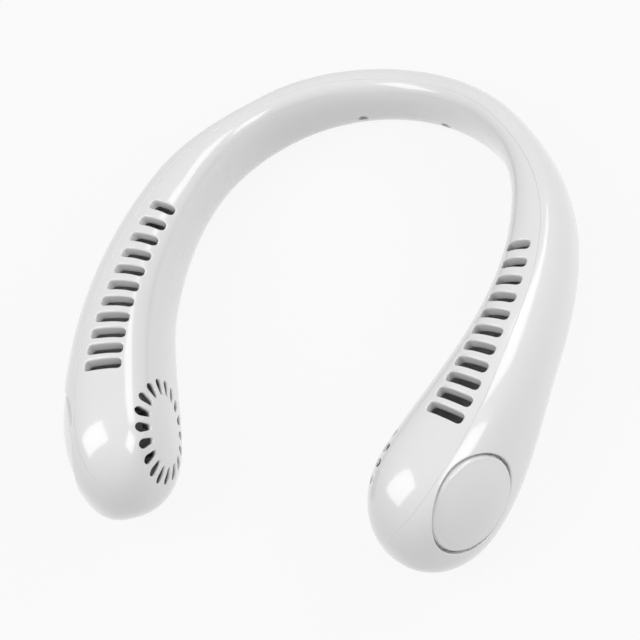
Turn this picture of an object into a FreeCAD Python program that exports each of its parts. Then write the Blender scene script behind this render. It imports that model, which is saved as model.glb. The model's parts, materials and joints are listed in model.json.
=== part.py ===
"""Electric neck fan, modelled lying on a table with its open end towards -Y.

The origin lies on the table under the middle of the object. X runs across the wearer's neck,
Y from the open end to the nape, Z up. The band is described along its middle line: a distance in
millimetres from the nape to a tip, with the right arm at positive X.
"""
import FreeCAD, Part
import math
import os

import Sketcher
from FreeCAD import Placement, Rotation, Vector

UP = Vector(0, 0, 1)

# Driving dimensions in millimetres and degrees
SIZES = (
    # Band, along its middle line from the nape to one tip
    ("band_length", 250.0),
    ("tip_length", 31.5),
    ("tip_roundness", 2.15),
    ("tip_lift", 4.0),
    ("wall", 1.6),
    ("rest_flat", 0.4),
    # Stations: distance from the nape
    ("shoulder_place", 55.0),
    ("bend_place", 107.5),
    ("arm_place", 160.0),
    ("head_place", 217.5),
    # Radius of the middle line, seen from above
    ("nape_radius", 71.5),
    ("shoulder_radius", 76.0),
    ("bend_radius", 112.0),
    ("arm_radius", 230.0),
    ("head_radius", 290.0),
    # Thickness of the band from the neck side to the outside
    ("nape_depth", 16.2),
    ("shoulder_depth", 15.8),
    ("bend_depth", 24.0),
    ("arm_depth", 31.6),
    ("head_depth", 41.6),
    # Height of the skin above its widest level
    ("nape_crown", 14.5),
    ("shoulder_crown", 17.2),
    ("bend_crown", 17.2),
    ("arm_crown", 21.6),
    ("head_crown", 32.0),
    # Height of the skin below its widest level
    ("nape_belly", 14.8),
    ("shoulder_belly", 16.4),
    ("bend_belly", 19.2),
    ("arm_belly", 22.2),
    ("head_belly", 27.2),
    # Height of the underside over the table
    ("nape_rise", 0.0),
    ("shoulder_rise", 1.7),
    ("bend_rise", 8.1),
    ("arm_rise", 10.3),
    ("head_rise", 0.0),
    # Lean of the section towards the neck
    ("nape_lean", 6.7),
    ("shoulder_lean", 6.6),
    ("bend_lean", 4.2),
    ("arm_lean", 1.5),
    ("head_lean", 3.0),
    # Exponent of the section's rounded outline, where 2 is an ellipse
    ("nape_squareness", 2.42),
    ("shoulder_squareness", 2.42),
    ("bend_squareness", 2.42),
    ("arm_squareness", 2.4),
    ("head_squareness", 2.55),
    # Parting line of the two casings, outside the middle line
    ("nape_parting", -2.9),
    ("shoulder_parting", -3.0),
    ("bend_parting", 1.2),
    ("arm_parting", 4.4),
    ("head_parting", 8.6),
    # Outlet slots on the top of each arm
    ("outlet_count", 11),
    ("outlet_place", 124.8),
    ("outlet_first_pitch", 8.8),
    ("outlet_last_pitch", 6.85),
    ("outlet_first_length", 9.0),
    ("outlet_last_length", 14.0),
    ("outlet_width", 4.2),
    ("outlet_corner", 1.5),
    ("outlet_margin", 3.2),
    # Fan axis and the ring of intake slots on the neck side
    ("fan_place", 222.8),
    ("fan_height", 35.2),
    ("intake_count", 18),
    ("intake_outer_radius", 19.5),
    ("intake_inner_radius", 13.4),
    ("intake_outer_width", 3.6),
    ("intake_inner_width", 2.3),
    # Round cover on the outside of each head, and the well behind it
    ("cover_place", 221.6),
    ("cover_reach", 15.8),
    ("cover_height", 37.0),
    ("cover_tilt", 15.0),
    ("cover_yaw", 8.0),
    ("cover_diameter", 35.6),
    ("cover_thickness", 2.0),
    ("cover_edge", 0.8),
    ("cover_foot_diameter", 12.0),
    ("cover_stem_diameter", 5.0),
    ("cover_stem_length", 2.0),
    ("well_gap", 1.3),
    ("well_depth", 1.0),
    ("well_wall", 1.2),
    ("well_vent_count", 12),
    ("well_vent_width", 3.0),
    ("well_vent_length", 6.5),
    # Blower wheel
    ("impeller_diameter", 34.0),
    ("impeller_width", 11.0),
    ("impeller_clearance", 0.5),
    ("impeller_web", 1.0),
    ("blade_count", 22),
    ("blade_length", 3.6),
    ("blade_thickness", 0.8),
    ("blade_angle", 32.0),
    ("hub_wall", 1.2),
    # Motor
    ("motor_seat", 4.0),
    ("motor_running_gap", 0.3),
    ("rotor_diameter", 19.4),
    ("rotor_wall", 0.7),
    ("rotor_height", 9.0),
    ("magnet_thickness", 1.0),
    ("magnet_height", 6.4),
    ("stator_height", 5.0),
    ("stator_pole_count", 6),
    ("stator_tooth", 1.8),
    ("stator_lift", 1.6),
    ("coil_thickness", 0.8),
    ("shaft_diameter", 2.0),
    ("bearing_diameter", 5.0),
    ("bearing_width", 2.0),
    ("bearing_fit", 0.02),
    ("bearing_tube_wall", 0.8),
    ("bearing_tube_length", 8.6),
    ("frame_thickness", 1.5),
    ("frame_disc_diameter", 19.0),
    ("frame_arm_width", 4.0),
    ("frame_bolt_radius", 13.0),
    ("frame_lug_diameter", 5.4),
    ("frame_arm_count", 3),
    # Inlet ring between the intake slots and the blower wheel
    ("inlet_diameter", 45.0),
    ("inlet_hole_diameter", 25.0),
    ("inlet_wall", 1.2),
    ("inlet_gap", 1.0),
    ("inlet_fit", 0.2),
    # Screws
    ("screw_diameter", 1.9),
    ("screw_head_diameter", 3.6),
    ("screw_head_height", 1.3),
    ("screw_clearance", 0.15),
    ("motor_screw_length", 3.8),
    ("board_screw_length", 4.4),
    ("shell_screw_length", 8.0),
    ("shell_screw_place", 20.0),
    ("shell_screw_height", 8.6),
    ("shell_screw_recess", 3.4),
    ("shell_boss_diameter", 5.6),
    ("boss_joint", -1.0),
    # Cells
    ("cell_place", 55.0),
    ("cell_length", 38.0),
    ("cell_height", 17.0),
    ("cell_thickness", 5.2),
    ("cell_rib_spacing", 26.0),
    ("cell_rib_height", 12.0),
    ("cell_rib_width", 1.2),
    ("cell_gap", 0.2),
    # Circuit board in the left arm, behind the power button
    ("board_place", 98.0),
    ("board_length", 30.0),
    ("board_height", 21.0),
    ("board_thickness", 1.2),
    ("board_screw_spacing", 25.0),
    ("board_screw_lift", 5.0),
    ("board_post_diameter", 4.4),
    ("chip_width", 5.0),
    ("chip_height", 1.0),
    # Power button, its switch and the indicator
    ("button_diameter", 9.0),
    ("button_proud", 0.8),
    ("button_flange", 1.0),
    ("button_flange_thickness", 0.8),
    ("button_travel", 0.4),
    ("button_clearance", 0.3),
    ("button_lift", 1.0),
    ("stem_diameter", 3.0),
    ("stem_length", 1.0),
    ("switch_width", 6.0),
    ("switch_height", 3.4),
    ("plunger_diameter", 2.6),
    ("plunger_proud", 0.7),
    ("plunger_depth", 1.4),
    ("lens_diameter", 2.4),
    ("lens_spacing", 9.0),
    ("lens_fit", 0.05),
    ("lens_gap", 0.4),
    # Charging socket at the board's lower edge
    ("usb_width", 8.94),
    ("usb_thickness", 3.26),
    ("usb_length", 7.35),
    ("usb_shell", 0.3),
    ("usb_tongue_width", 6.7),
    ("usb_tongue_thickness", 0.7),
    ("usb_overhang", 3.0),
    ("usb_shift", 7.0),
    ("usb_clearance", 0.2),
    ("usb_recess", 0.4),
    # Foam plugs and wiring
    ("seal_place", 118.5),
    ("seal_thickness", 3.0),
    ("seal_gap", 0.15),
    ("lead_diameter", 2.4),
    ("lead_clearance", 0.5),
    ("lead_step", 11.0),
    ("lead_drop", 44.0),
)

STATIONS = ("nape", "shoulder", "bend", "arm", "head")
HALF_COUNT = 14
BODY_SECTIONS = 17
TIP_SECTIONS = 9
TIP_SWEEP = 86.0
LINE_STEP = 0.5
FAR = 200.0

doc = FreeCAD.newDocument("neck_fan")
sheet = doc.addObject("Spreadsheet::Sheet", "Sizes")
for row, (alias, value) in enumerate(SIZES, start=1):
    sheet.set("A%d" % row, alias)
    sheet.set("B%d" % row, str(value))
    sheet.setAlias("B%d" % row, alias)
doc.recompute()


def size(alias):
    """Value of one driving dimension."""
    return float(sheet.get(alias))


def bound(formula):
    """Formula on the sheet's own names, with each name led by the sheet's name."""
    words = {alias for alias, value in SIZES}
    pieces = []
    word = ""
    for letter in formula + " ":
        if letter.isalnum() or letter == "_":
            word += letter
            continue
        pieces.append("Sizes." + word if word in words else word)
        pieces.append(letter)
        word = ""
    return "".join(pieces).strip()


def worked_out(formula):
    """Number that a formula on the sheet gives."""
    return float(sheet.evalExpression(bound(formula)))


# The band: middle line, section and skin

def station_values(quality):
    """Values of one quality, such as depth, at the five stations."""
    return [size("%s_%s" % (station, quality)) for station in STATIONS]


STATION_PLACES = [0.0] + [size(station + "_place") for station in STATIONS[1:]]
TIP_START = size("band_length") - size("tip_length")


def along(values, distance):
    """Smooth value at a distance from the nape, level at the nape and past the head."""
    distance = abs(distance)
    places = STATION_PLACES
    if distance >= places[-1]:
        return values[-1]
    rates = [(values[i + 1] - values[i]) / (places[i + 1] - places[i]) for i in range(len(places) - 1)]
    slopes = [0.0]
    for before, after in zip(rates, rates[1:]):
        same_way = before * after > 0
        slopes.append(2.0 * before * after / (before + after) if same_way else 0.0)
    slopes.append(0.0)
    index = max(i for i in range(len(places) - 1) if places[i] <= distance)
    span = places[index + 1] - places[index]
    part = (distance - places[index]) / span
    rest = 1.0 - part
    ends = values[index] * (1 + 2 * part) * rest ** 2 + values[index + 1] * (3 - 2 * part) * part ** 2
    bends = slopes[index] * part * rest ** 2 - slopes[index + 1] * part ** 2 * rest
    return ends + span * bends


QUALITIES = {
    quality: station_values(quality)
    for quality in ("depth", "crown", "belly", "rise", "lean", "squareness", "parting")
}
CURVATURES = [1.0 / radius for radius in station_values("radius")]


def traced_line():
    """Middle line seen from above: a list of (x, y, heading) at equal steps from the nape."""
    x, y, heading = 0.0, 0.0, 0.0
    line = [(x, y, heading)]
    for step in range(int(size("band_length") / LINE_STEP) + 1):
        turn = along(CURVATURES, (step + 0.5) * LINE_STEP) * LINE_STEP
        x += LINE_STEP * math.cos(heading + turn / 2)
        y -= LINE_STEP * math.sin(heading + turn / 2)
        heading += turn
        line.append((x, y, heading))
    return line


LINE = traced_line()


class Spot:
    """A place on the middle line: its point at the widest level, and its directions.

    forward runs from the nape towards the tip of that arm and outward away from the neck.
    """

    def __init__(self, distance):
        side = -1.0 if distance < 0 else 1.0
        steps = abs(distance) / LINE_STEP
        index = min(int(steps), len(LINE) - 2)
        share = steps - index
        x, y, heading = [a + (b - a) * share for a, b in zip(LINE[index], LINE[index + 1])]
        past_tip = max(abs(distance) - TIP_START, 0.0) / size("tip_length")
        self.side = side
        self.distance = distance
        self.forward = Vector(side * math.cos(heading), -math.sin(heading), 0)
        self.outward = Vector(side * math.sin(heading), math.cos(heading), 0)
        self.level = along(QUALITIES["rise"], distance) + along(QUALITIES["belly"], distance)
        self.level += size("tip_lift") * past_tip ** 2 - size("rest_flat")
        self.point = Vector(side * x, y, self.level)

    def taper(self, inset):
        """Share of the full section that is left inside the rounded tip."""
        power = size("tip_roundness")
        past = max(abs(self.distance) - TIP_START, 0.0) / (size("tip_length") - inset)
        return max(1.0 - min(past, 1.0) ** power, 0.0) ** (1.0 / power)

    def halves(self, inset):
        """Half depth, crown and belly of the section, with the skin moved inwards by inset."""
        taper = self.taper(inset)
        depth = along(QUALITIES["depth"], self.distance) / 2
        crown = along(QUALITIES["crown"], self.distance)
        belly = along(QUALITIES["belly"], self.distance)
        return [taper * (half - inset) for half in (depth, crown, belly)]

    def skin(self, angle, inset=0.0):
        """Point of the section's outline, where 0 degrees is outwards and 90 degrees is up."""
        half_depth, crown, belly = self.halves(inset)
        power = along(QUALITIES["squareness"], self.distance)
        lean = math.tan(math.radians(along(QUALITIES["lean"], self.distance)))
        cosine = math.cos(math.radians(angle))
        sine = math.sin(math.radians(angle))
        reach = (abs(cosine) ** power + abs(sine) ** power) ** (-1.0 / power)
        climb = reach * sine * (crown if sine > 0 else belly)
        across = reach * cosine * half_depth - climb * lean
        return self.point + self.outward * across + UP * climb

    def face(self, height, inset=0.0, side=1.0):
        """Distance outwards from the middle line to the side face at a height."""
        half_depth, crown, belly = self.halves(inset)
        power = along(QUALITIES["squareness"], self.distance)
        lean = math.tan(math.radians(along(QUALITIES["lean"], self.distance)))
        climb = height - self.level
        share = abs(climb) / (crown if climb > 0 else belly)
        return side * half_depth * (1.0 - share ** power) ** (1.0 / power) - climb * lean

    def underside(self, across):
        """Height of the skin's underside at a distance outwards from the middle line."""
        half_depth, crown, belly = self.halves(0.0)
        power = along(QUALITIES["squareness"], self.distance)
        return self.level - belly * (1.0 - (abs(across) / half_depth) ** power) ** (1.0 / power)

    def parting(self):
        """Point of the parting line, seen from above."""
        past_tip = max(abs(self.distance) - TIP_START, 0.0) / size("tip_length")
        offset = along(QUALITIES["parting"], self.distance) * (1.0 - past_tip ** 4)
        return self.point + self.outward * offset

    def frame(self, across, height, tilt=0.0, yaw=0.0):
        """Placement whose Z looks outwards, Y up and X along the band."""
        swing = self.outward * math.cos(math.radians(yaw)) + self.forward * math.sin(math.radians(yaw))
        normal = swing * math.cos(math.radians(tilt)) + UP * math.sin(math.radians(tilt))
        sideways = UP.cross(normal)
        sideways.normalize()
        turn = Rotation(sideways, normal.cross(sideways), normal, "ZXY")
        base = Vector(self.point.x, self.point.y, height) + self.outward * across
        return Placement(base, turn)


def section_places():
    """Distances of the lofted sections on one arm, up to its rounded tip."""
    return [TIP_START * index / BODY_SECTIONS for index in range(BODY_SECTIONS)]


def tip_places(inset):
    """Distances of the sections round the tip, at equal turns of its rounding."""
    power = 2.0 / size("tip_roundness")
    turns = [math.radians(TIP_SWEEP * index / TIP_SECTIONS) for index in range(TIP_SECTIONS + 1)]
    return [TIP_START + (size("tip_length") - inset) * math.sin(turn) ** power for turn in turns]


def half_outline(spot, inset, start):
    """Upper or lower half of a section's outline, upright where the two halves meet."""
    steps = [index / HALF_COUNT for index in range(HALF_COUNT + 1)]
    lean = math.tan(math.radians(along(QUALITIES["lean"], spot.distance)))
    half_depth, crown, belly = spot.halves(inset)
    climb = (UP - spot.outward * lean) * math.pi * (crown if start == 0.0 else -belly)
    curve = Part.BSplineCurve()
    curve.interpolate(Points=[spot.skin(start + 180.0 * step, inset) for step in steps], Parameters=steps,
                      InitialTangent=climb, FinalTangent=climb * -1, Scale=False)
    return curve.toShape()


def section_wire(distance, inset):
    """Closed outline of the band's section."""
    spot = Spot(distance)
    return Part.Wire([half_outline(spot, inset, start) for start in (0.0, 180.0)])


def band_solid(inset):
    """The whole horseshoe, from tip to tip, with its skin moved inwards by inset."""
    arm = section_places() + tip_places(inset)
    places = [-place for place in reversed(arm[1:])] + arm
    return Part.makeLoft([section_wire(place, inset) for place in places], True, False)


def outer_side():
    """Block that holds everything outside the parting line."""
    arm = [Spot(place).parting() for place in section_places() + tip_places(0.0)]
    right = [Vector(point.x, point.y, -FAR) for point in arm]
    left = [Vector(-point.x, point.y, point.z) for point in reversed(right[1:])]
    curve = Part.BSplineCurve()
    curve.interpolate(left + right)
    end = right[-1] + curve.tangent(curve.LastParameter)[0] * size("tip_length")
    corners = [right[-1], end, Vector(FAR, end.y, -FAR), Vector(FAR, FAR, -FAR), Vector(-FAR, FAR, -FAR),
               Vector(-FAR, end.y, -FAR), Vector(-end.x, end.y, -FAR), left[0]]
    edges = [curve.toShape()]
    edges += [Part.makeLine(first, last) for first, last in zip(corners, corners[1:])]
    return Part.Face(Part.Wire(edges)).extrude(UP * 2 * FAR)


def centred_shift():
    """Shift along Y that puts the middle of the band's length over the origin."""
    tip_start, band_end = int(TIP_START), int(size("band_length")) + 1
    front = min(Spot(place).skin(angle).y for place in range(tip_start, band_end) for angle in range(0, 360, 5))
    back = max(Spot(0.0).skin(angle).y for angle in range(0, 360, 5))
    return -(front + back) / 2


SHIFT = centred_shift()
LINE = [(x, y + SHIFT, heading) for x, y, heading in LINE]


def fan_frame(side):
    """Fan axis of one head, with the motor's seat at height 0."""
    return Spot(side * size("fan_place")).frame(size("motor_seat"), size("fan_height"))


def cover_frame(side):
    """Axis of one head's round cover, with its face at height 0."""
    spot = Spot(side * size("cover_place"))
    return spot.frame(size("cover_reach"), size("cover_height"), size("cover_tilt"), size("cover_yaw"))


# Ways of making pieces

def shape_item(name, shape, placement=None):
    """Piece whose shape follows the band and comes from no plain primitive."""
    item = doc.addObject("Part::Feature", name)
    item.Shape = shape
    if placement:
        item.Placement = placement
    return item


def box(name, length, width, height, corner, placement=None):
    """Box from its formulas, with its low corner at the given point."""
    item = doc.addObject("Part::Box", name)
    for quality, formula in (("Length", length), ("Width", width), ("Height", height)):
        item.setExpression(quality, bound(formula))
    item.Placement = Placement(corner, Rotation())
    if placement:
        item.Placement = placement.multiply(item.Placement)
    return item


def cylinder(name, radius, height, base, placement=None):
    """Upright cylinder from its formulas, with the middle of its lower face at the given point."""
    item = doc.addObject("Part::Cylinder", name)
    item.setExpression("Radius", bound(radius))
    item.setExpression("Height", bound(height))
    item.Placement = Placement(base, Rotation())
    if placement:
        item.Placement = placement.multiply(item.Placement)
    return item


def joined(name, pieces):
    """One piece out of several that touch."""
    item = doc.addObject("Part::MultiFuse", name)
    item.Shapes = pieces
    item.Refine = False
    return item


def gathered(name, pieces):
    """Several separate pieces in one node."""
    item = doc.addObject("Part::Compound", name)
    item.Links = pieces
    return item


def without(name, base, tools):
    """The base with the tools cut out of it."""
    item = doc.addObject("Part::Cut", name)
    item.Base = base
    item.Tool = tools[0] if len(tools) == 1 else gathered(name + "_tools", tools)
    item.Refine = False
    return item


def inside(name, base, tool):
    """What the base and the tool share."""
    item = doc.addObject("Part::Common", name)
    item.Base = base
    item.Tool = tool
    item.Refine = False
    return item


def placed(item, placement):
    """Put a finished piece in its place."""
    item.Placement = placement
    return item


def spun(angle, centre=Vector()):
    """Turn about the local Z axis, in degrees."""
    return Placement(centre, Rotation(UP, angle))


def origin_plane(body, role):
    """One of a body's own three planes."""
    return [item for item in body.Origin.OriginFeatures if item.Role == role][0]


def sketch_on(body, name, role, lift="0"):
    """Empty sketch on one of a body's planes, lifted along the plane's normal."""
    sketch = body.newObject("Sketcher::SketchObject", name)
    sketch.AttachmentSupport = (origin_plane(body, role), [""])
    sketch.MapMode = "FlatFace"
    if lift != "0":
        sketch.setExpression("AttachmentOffset.Base.z", bound(lift))
    return sketch


def drawn_outline(sketch, corners):
    """Closed outline through corners given as pairs of formulas, none of them negative."""
    points = [Vector(worked_out(across), worked_out(along_axis), 0) for across, along_axis in corners]
    count = len(points)
    for index in range(count):
        sketch.addGeometry(Part.LineSegment(points[index], points[(index + 1) % count]), False)
    for index in range(count):
        sketch.addConstraint(Sketcher.Constraint("Coincident", index, 2, (index + 1) % count, 1))
    for index, corner in enumerate(corners):
        for kind, axis, formula, value in (("DistanceX", -2, corner[0], points[index].x),
                                           ("DistanceY", -1, corner[1], points[index].y)):
            if formula == "0":
                sketch.addConstraint(Sketcher.Constraint("PointOnObject", index, 1, axis))
                continue
            place = sketch.addConstraint(Sketcher.Constraint(kind, -1, 1, index, 1, value))
            sketch.setExpression("Constraints[%d]" % place, bound(formula))


def drawn_circle(sketch, radius):
    """Circle about the sketch's origin."""
    index = sketch.addGeometry(Part.Circle(Vector(), UP, worked_out(radius)), False)
    sketch.addConstraint(Sketcher.Constraint("Coincident", index, 3, -1, 1))
    place = sketch.addConstraint(Sketcher.Constraint("Radius", index, worked_out(radius)))
    sketch.setExpression("Constraints[%d]" % place, bound(radius))


def turned(name, outline):
    """Body turned about its Z axis from an outline of (radius, height) formulas."""
    body = doc.addObject("PartDesign::Body", name)
    sketch = sketch_on(body, name + "_outline", "XZ_Plane")
    drawn_outline(sketch, outline)
    turn = body.newObject("PartDesign::Revolution", name + "_turn")
    turn.Profile = sketch
    turn.ReferenceAxis = (sketch, ["V_Axis"])
    turn.Angle = 360.0
    body.Tip = turn
    return body


def mirrored(name, source):
    """The same piece on the left side."""
    item = doc.addObject("Part::Mirroring", name)
    item.Source = source
    item.Base = Vector()
    item.Normal = Vector(1, 0, 0)
    return item


def screw(name, length, placement):
    """Pan-head screw that points along the placement's Z, with the head's seat at its origin."""
    item = turned(name, (
        ("0", length_down(length)), ("screw_diameter / 2", length_down(length)),
        ("screw_diameter / 2", "screw_head_height"), ("screw_head_diameter / 2", "screw_head_height"),
        ("screw_head_diameter / 2", "0"), ("0", "0")))
    lift = Placement(Vector(0, 0, -size("screw_head_height")), Rotation())
    return placed(item, placement.multiply(lift))


def length_down(length):
    """Formula for the height of a screw's point above the top of its head."""
    return "screw_head_height + " + length


NODES = []


def node(item, name):
    """Give a finished piece its node name and list it for writing."""
    item.Label = name
    NODES.append(item)
    return item


# Motor and blower of the right head, built about the fan axis with the motor's seat at height 0

def bolt_points():
    """Places of the frame's three screws, one straight up."""
    count = int(size("frame_arm_count"))
    radius = size("frame_bolt_radius")
    angles = [math.radians(90.0 + 360.0 * index / count) for index in range(count)]
    return [Vector(radius * math.cos(angle), radius * math.sin(angle), 0) for angle in angles]


def motor_frame():
    """Plate with three arms, and the tube that holds the bearings."""
    tube_radius = "bearing_diameter / 2 + bearing_fit + bearing_tube_wall"
    tube_base = Vector(0, 0, -size("bearing_tube_length"))
    pieces = [
        cylinder("frame_disc", "frame_disc_diameter / 2", "frame_thickness", Vector()),
        cylinder("frame_tube", tube_radius, "bearing_tube_length + frame_thickness", tube_base),
    ]
    holes = [cylinder("frame_bore", "bearing_diameter / 2 + bearing_fit", "bearing_tube_length", tube_base)]
    corner = Vector(0, -size("frame_arm_width") / 2, 0)
    for index, point in enumerate(bolt_points()):
        angle = math.degrees(math.atan2(point.y, point.x))
        name = "frame_arm_%d" % index
        pieces.append(box(name, "frame_bolt_radius", "frame_arm_width", "frame_thickness", corner, spun(angle)))
        pieces.append(cylinder(name + "_lug", "frame_lug_diameter / 2", "frame_thickness", point))
        hole = "screw_diameter / 2 + screw_clearance"
        holes.append(cylinder(name + "_hole", hole, "frame_thickness", point))
    return without("motor_frame", joined("frame_body", pieces), holes)


def bearings():
    """Two ball bearings, at the two ends of the tube."""
    length = size("bearing_tube_length")
    rings = []
    for index, low in enumerate((-length, -size("bearing_width"))):
        ring = turned("bearing_%d" % index, (
            ("shaft_diameter / 2 + bearing_fit", "0"), ("bearing_diameter / 2", "0"),
            ("bearing_diameter / 2", "bearing_width"), ("shaft_diameter / 2 + bearing_fit", "bearing_width")))
        rings.append(placed(ring, Placement(Vector(0, 0, low), Rotation())))
    return gathered("bearings", rings)


STATOR_RADIUS = "rotor_diameter / 2 - rotor_wall - magnet_thickness - motor_running_gap"
TUBE_RADIUS = "bearing_diameter / 2 + bearing_fit + bearing_tube_wall"
STATOR_LOW = -size("stator_lift") - size("stator_height")


def pole_turns():
    """Turns of the stator's poles about the axis."""
    count = int(size("stator_pole_count"))
    return [spun(360.0 * index / count) for index in range(count)]


def stator_core():
    """Ring with a tooth for each pole, each ending in a wider shoe."""
    base = Vector(0, 0, STATOR_LOW)
    shoe = "stator_tooth * 2.4"
    pieces = [cylinder("core_ring", TUBE_RADIUS + " + stator_tooth", "stator_height", base)]
    for index, turn in enumerate(pole_turns()):
        tooth_corner = Vector(0, -size("stator_tooth") / 2, STATOR_LOW)
        shoe_corner = Vector(worked_out(STATOR_RADIUS + " - coil_thickness"), -worked_out(shoe) / 2, STATOR_LOW)
        pieces.append(box("tooth_%d" % index, STATOR_RADIUS, "stator_tooth", "stator_height", tooth_corner, turn))
        pieces.append(box("shoe_%d" % index, "coil_thickness", shoe, "stator_height", shoe_corner, turn))
    outline = cylinder("core_outline", STATOR_RADIUS, "stator_height", base)
    bore = cylinder("core_bore", TUBE_RADIUS + " + bearing_fit", "stator_height", base)
    return without("stator_core", inside("core_body", joined("core_star", pieces), outline), [bore])


def stator_coils():
    """A coil round each tooth, between the ring and the shoe."""
    low = worked_out(TUBE_RADIUS + " + stator_tooth + bearing_fit * 2")
    room = "%s - coil_thickness - bearing_fit * 4 - (%s + stator_tooth)" % (STATOR_RADIUS, TUBE_RADIUS)
    wide = "stator_tooth + 2 * coil_thickness"
    tall = "stator_height + 2 * coil_thickness"
    coils = []
    for index, turn in enumerate(pole_turns()):
        name = "coil_%d" % index
        corner = Vector(low, -worked_out(wide) / 2, STATOR_LOW - size("coil_thickness"))
        opening = Vector(low, -size("stator_tooth") / 2 - size("bearing_fit"), STATOR_LOW - size("bearing_fit"))
        body = box(name + "_body", room, wide, tall, corner, turn)
        gap = box(name + "_gap", room, "stator_tooth + 2 * bearing_fit", "stator_height + 2 * bearing_fit",
                  opening, turn)
        coils.append(without(name, body, [gap]))
    return gathered("stator_coils", coils)


IMPELLER_TOP = -size("screw_head_height") - size("impeller_clearance")
ROTOR_LOW = IMPELLER_TOP - size("rotor_height")


def rotor_cup():
    """Steel cup, closed towards the neck, that carries the magnets."""
    cup = turned("rotor_cup", (
        ("shaft_diameter / 2 + bearing_fit", "0"), ("rotor_diameter / 2", "0"),
        ("rotor_diameter / 2", "rotor_height"), ("rotor_diameter / 2 - rotor_wall", "rotor_height"),
        ("rotor_diameter / 2 - rotor_wall", "rotor_wall"), ("shaft_diameter / 2 + bearing_fit", "rotor_wall")))
    return placed(cup, Placement(Vector(0, 0, ROTOR_LOW), Rotation()))


def magnet_ring():
    """Ring magnet inside the cup's wall."""
    outer = "rotor_diameter / 2 - rotor_wall - bearing_fit"
    inner = "rotor_diameter / 2 - rotor_wall - magnet_thickness"
    ring = turned("magnet_ring", ((inner, "0"), (outer, "0"), (outer, "magnet_height"), (inner, "magnet_height")))
    lift = ROTOR_LOW + size("rotor_wall")
    return placed(ring, Placement(Vector(0, 0, lift), Rotation()))


def motor_shaft():
    """Shaft from the blower wheel's boss through both bearings."""
    length = "rotor_height + hub_wall + screw_head_height + impeller_clearance - motor_running_gap"
    shaft = turned("motor_shaft", (
        ("0", "0"), ("shaft_diameter / 2", "0"), ("shaft_diameter / 2", length), ("0", length)))
    return placed(shaft, Placement(Vector(0, 0, ROTOR_LOW - size("hub_wall")), Rotation()))


def impeller():
    """Double-inlet blower wheel: hub over the rotor cup, a web, blades and two rim rings."""
    hub_inner = "rotor_diameter / 2 + bearing_fit"
    hub_outer = hub_inner + " + hub_wall"
    hub_height = "rotor_height + hub_wall"
    rim = "impeller_diameter / 2"
    web_low = "impeller_width / 2 - impeller_web / 2"
    web_high = "impeller_width / 2 + impeller_web / 2"
    hub_low = "impeller_width - rotor_height - hub_wall"
    body = turned("impeller", (
        ("shaft_diameter / 2 + bearing_fit", hub_low), (hub_outer, hub_low), (hub_outer, web_low), (rim, web_low),
        (rim, web_high), (hub_outer, web_high), (hub_outer, "impeller_width"), (hub_inner, "impeller_width"),
        (hub_inner, hub_low + " + hub_wall"), ("shaft_diameter / 2 + bearing_fit", hub_low + " + hub_wall")))
    blade_sketch = sketch_on(body, "blade_outline", "XY_Plane")
    drawn_blade(blade_sketch)
    blade = body.newObject("PartDesign::Pad", "blade")
    blade.Profile = blade_sketch
    blade.setExpression("Length", bound("impeller_width"))
    doc.recompute()
    blades = body.newObject("PartDesign::PolarPattern", "blades")
    blades.Originals = [blade]
    blades.Axis = (blade_sketch, ["N_Axis"])
    blades.Angle = 360.0
    blades.setExpression("Occurrences", bound("blade_count"))
    body.Tip = blades
    for name, lift in (("rim_low", "0"), ("rim_high", "impeller_width - impeller_web")):
        ring_sketch = sketch_on(body, name + "_outline", "XY_Plane", lift)
        drawn_circle(ring_sketch, rim)
        drawn_circle(ring_sketch, rim + " - blade_thickness * 1.5")
        ring = body.newObject("PartDesign::Pad", name)
        ring.Profile = ring_sketch
        ring.setExpression("Length", bound("impeller_web"))
        body.Tip = ring
    return placed(body, Placement(Vector(0, 0, IMPELLER_TOP - size("impeller_width")), Rotation()))


def drawn_blade(sketch):
    """Slanted blade outline just inside the wheel's rim, turned from the radius by its angle."""
    slant = math.radians(size("blade_angle"))
    rim = Vector(size("impeller_diameter") / 2 - size("blade_thickness"), 0, 0)
    run = Vector(-math.cos(slant), math.sin(slant), 0) * size("blade_length")
    side = Vector(math.sin(slant), math.cos(slant), 0) * (size("blade_thickness") / 2)
    corners = [rim + side, rim + run + side, rim + run - side, rim - side]
    for index in range(4):
        sketch.addGeometry(Part.LineSegment(corners[index], corners[(index + 1) % 4]), False)
    for index in range(4):
        sketch.addConstraint(Sketcher.Constraint("Coincident", index, 2, (index + 1) % 4, 1))
    sketch.addConstraint(Sketcher.Constraint("Parallel", 0, 2))
    sketch.addConstraint(Sketcher.Constraint("Perpendicular", 0, 1))
    sketch.addConstraint(Sketcher.Constraint("Perpendicular", 0, 3))
    length = sketch.addConstraint(Sketcher.Constraint("Distance", 0, 1, 0, 2, size("blade_length")))
    sketch.setExpression("Constraints[%d]" % length, bound("blade_length"))
    thick = sketch.addConstraint(Sketcher.Constraint("Distance", 1, 1, 1, 2, size("blade_thickness")))
    sketch.setExpression("Constraints[%d]" % thick, bound("blade_thickness"))


def outer_cover():
    """Raised round cover, with the foot and stem that hold it in its well."""
    total = "cover_stem_length + well_depth + cover_thickness"
    seat = "cover_stem_length"
    under = "cover_stem_length + well_depth"
    rim = "cover_diameter / 2"
    cover = turned("outer_cover", (
        ("0", "0"), ("cover_stem_diameter / 2", "0"), ("cover_stem_diameter / 2", seat),
        ("cover_foot_diameter / 2", seat), ("cover_foot_diameter / 2", under), (rim, under),
        (rim, total + " - cover_edge"), (rim + " - cover_edge", total), ("0", total)))
    return placed(cover, Placement(Vector(0, 0, -worked_out(total)), Rotation()))


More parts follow.
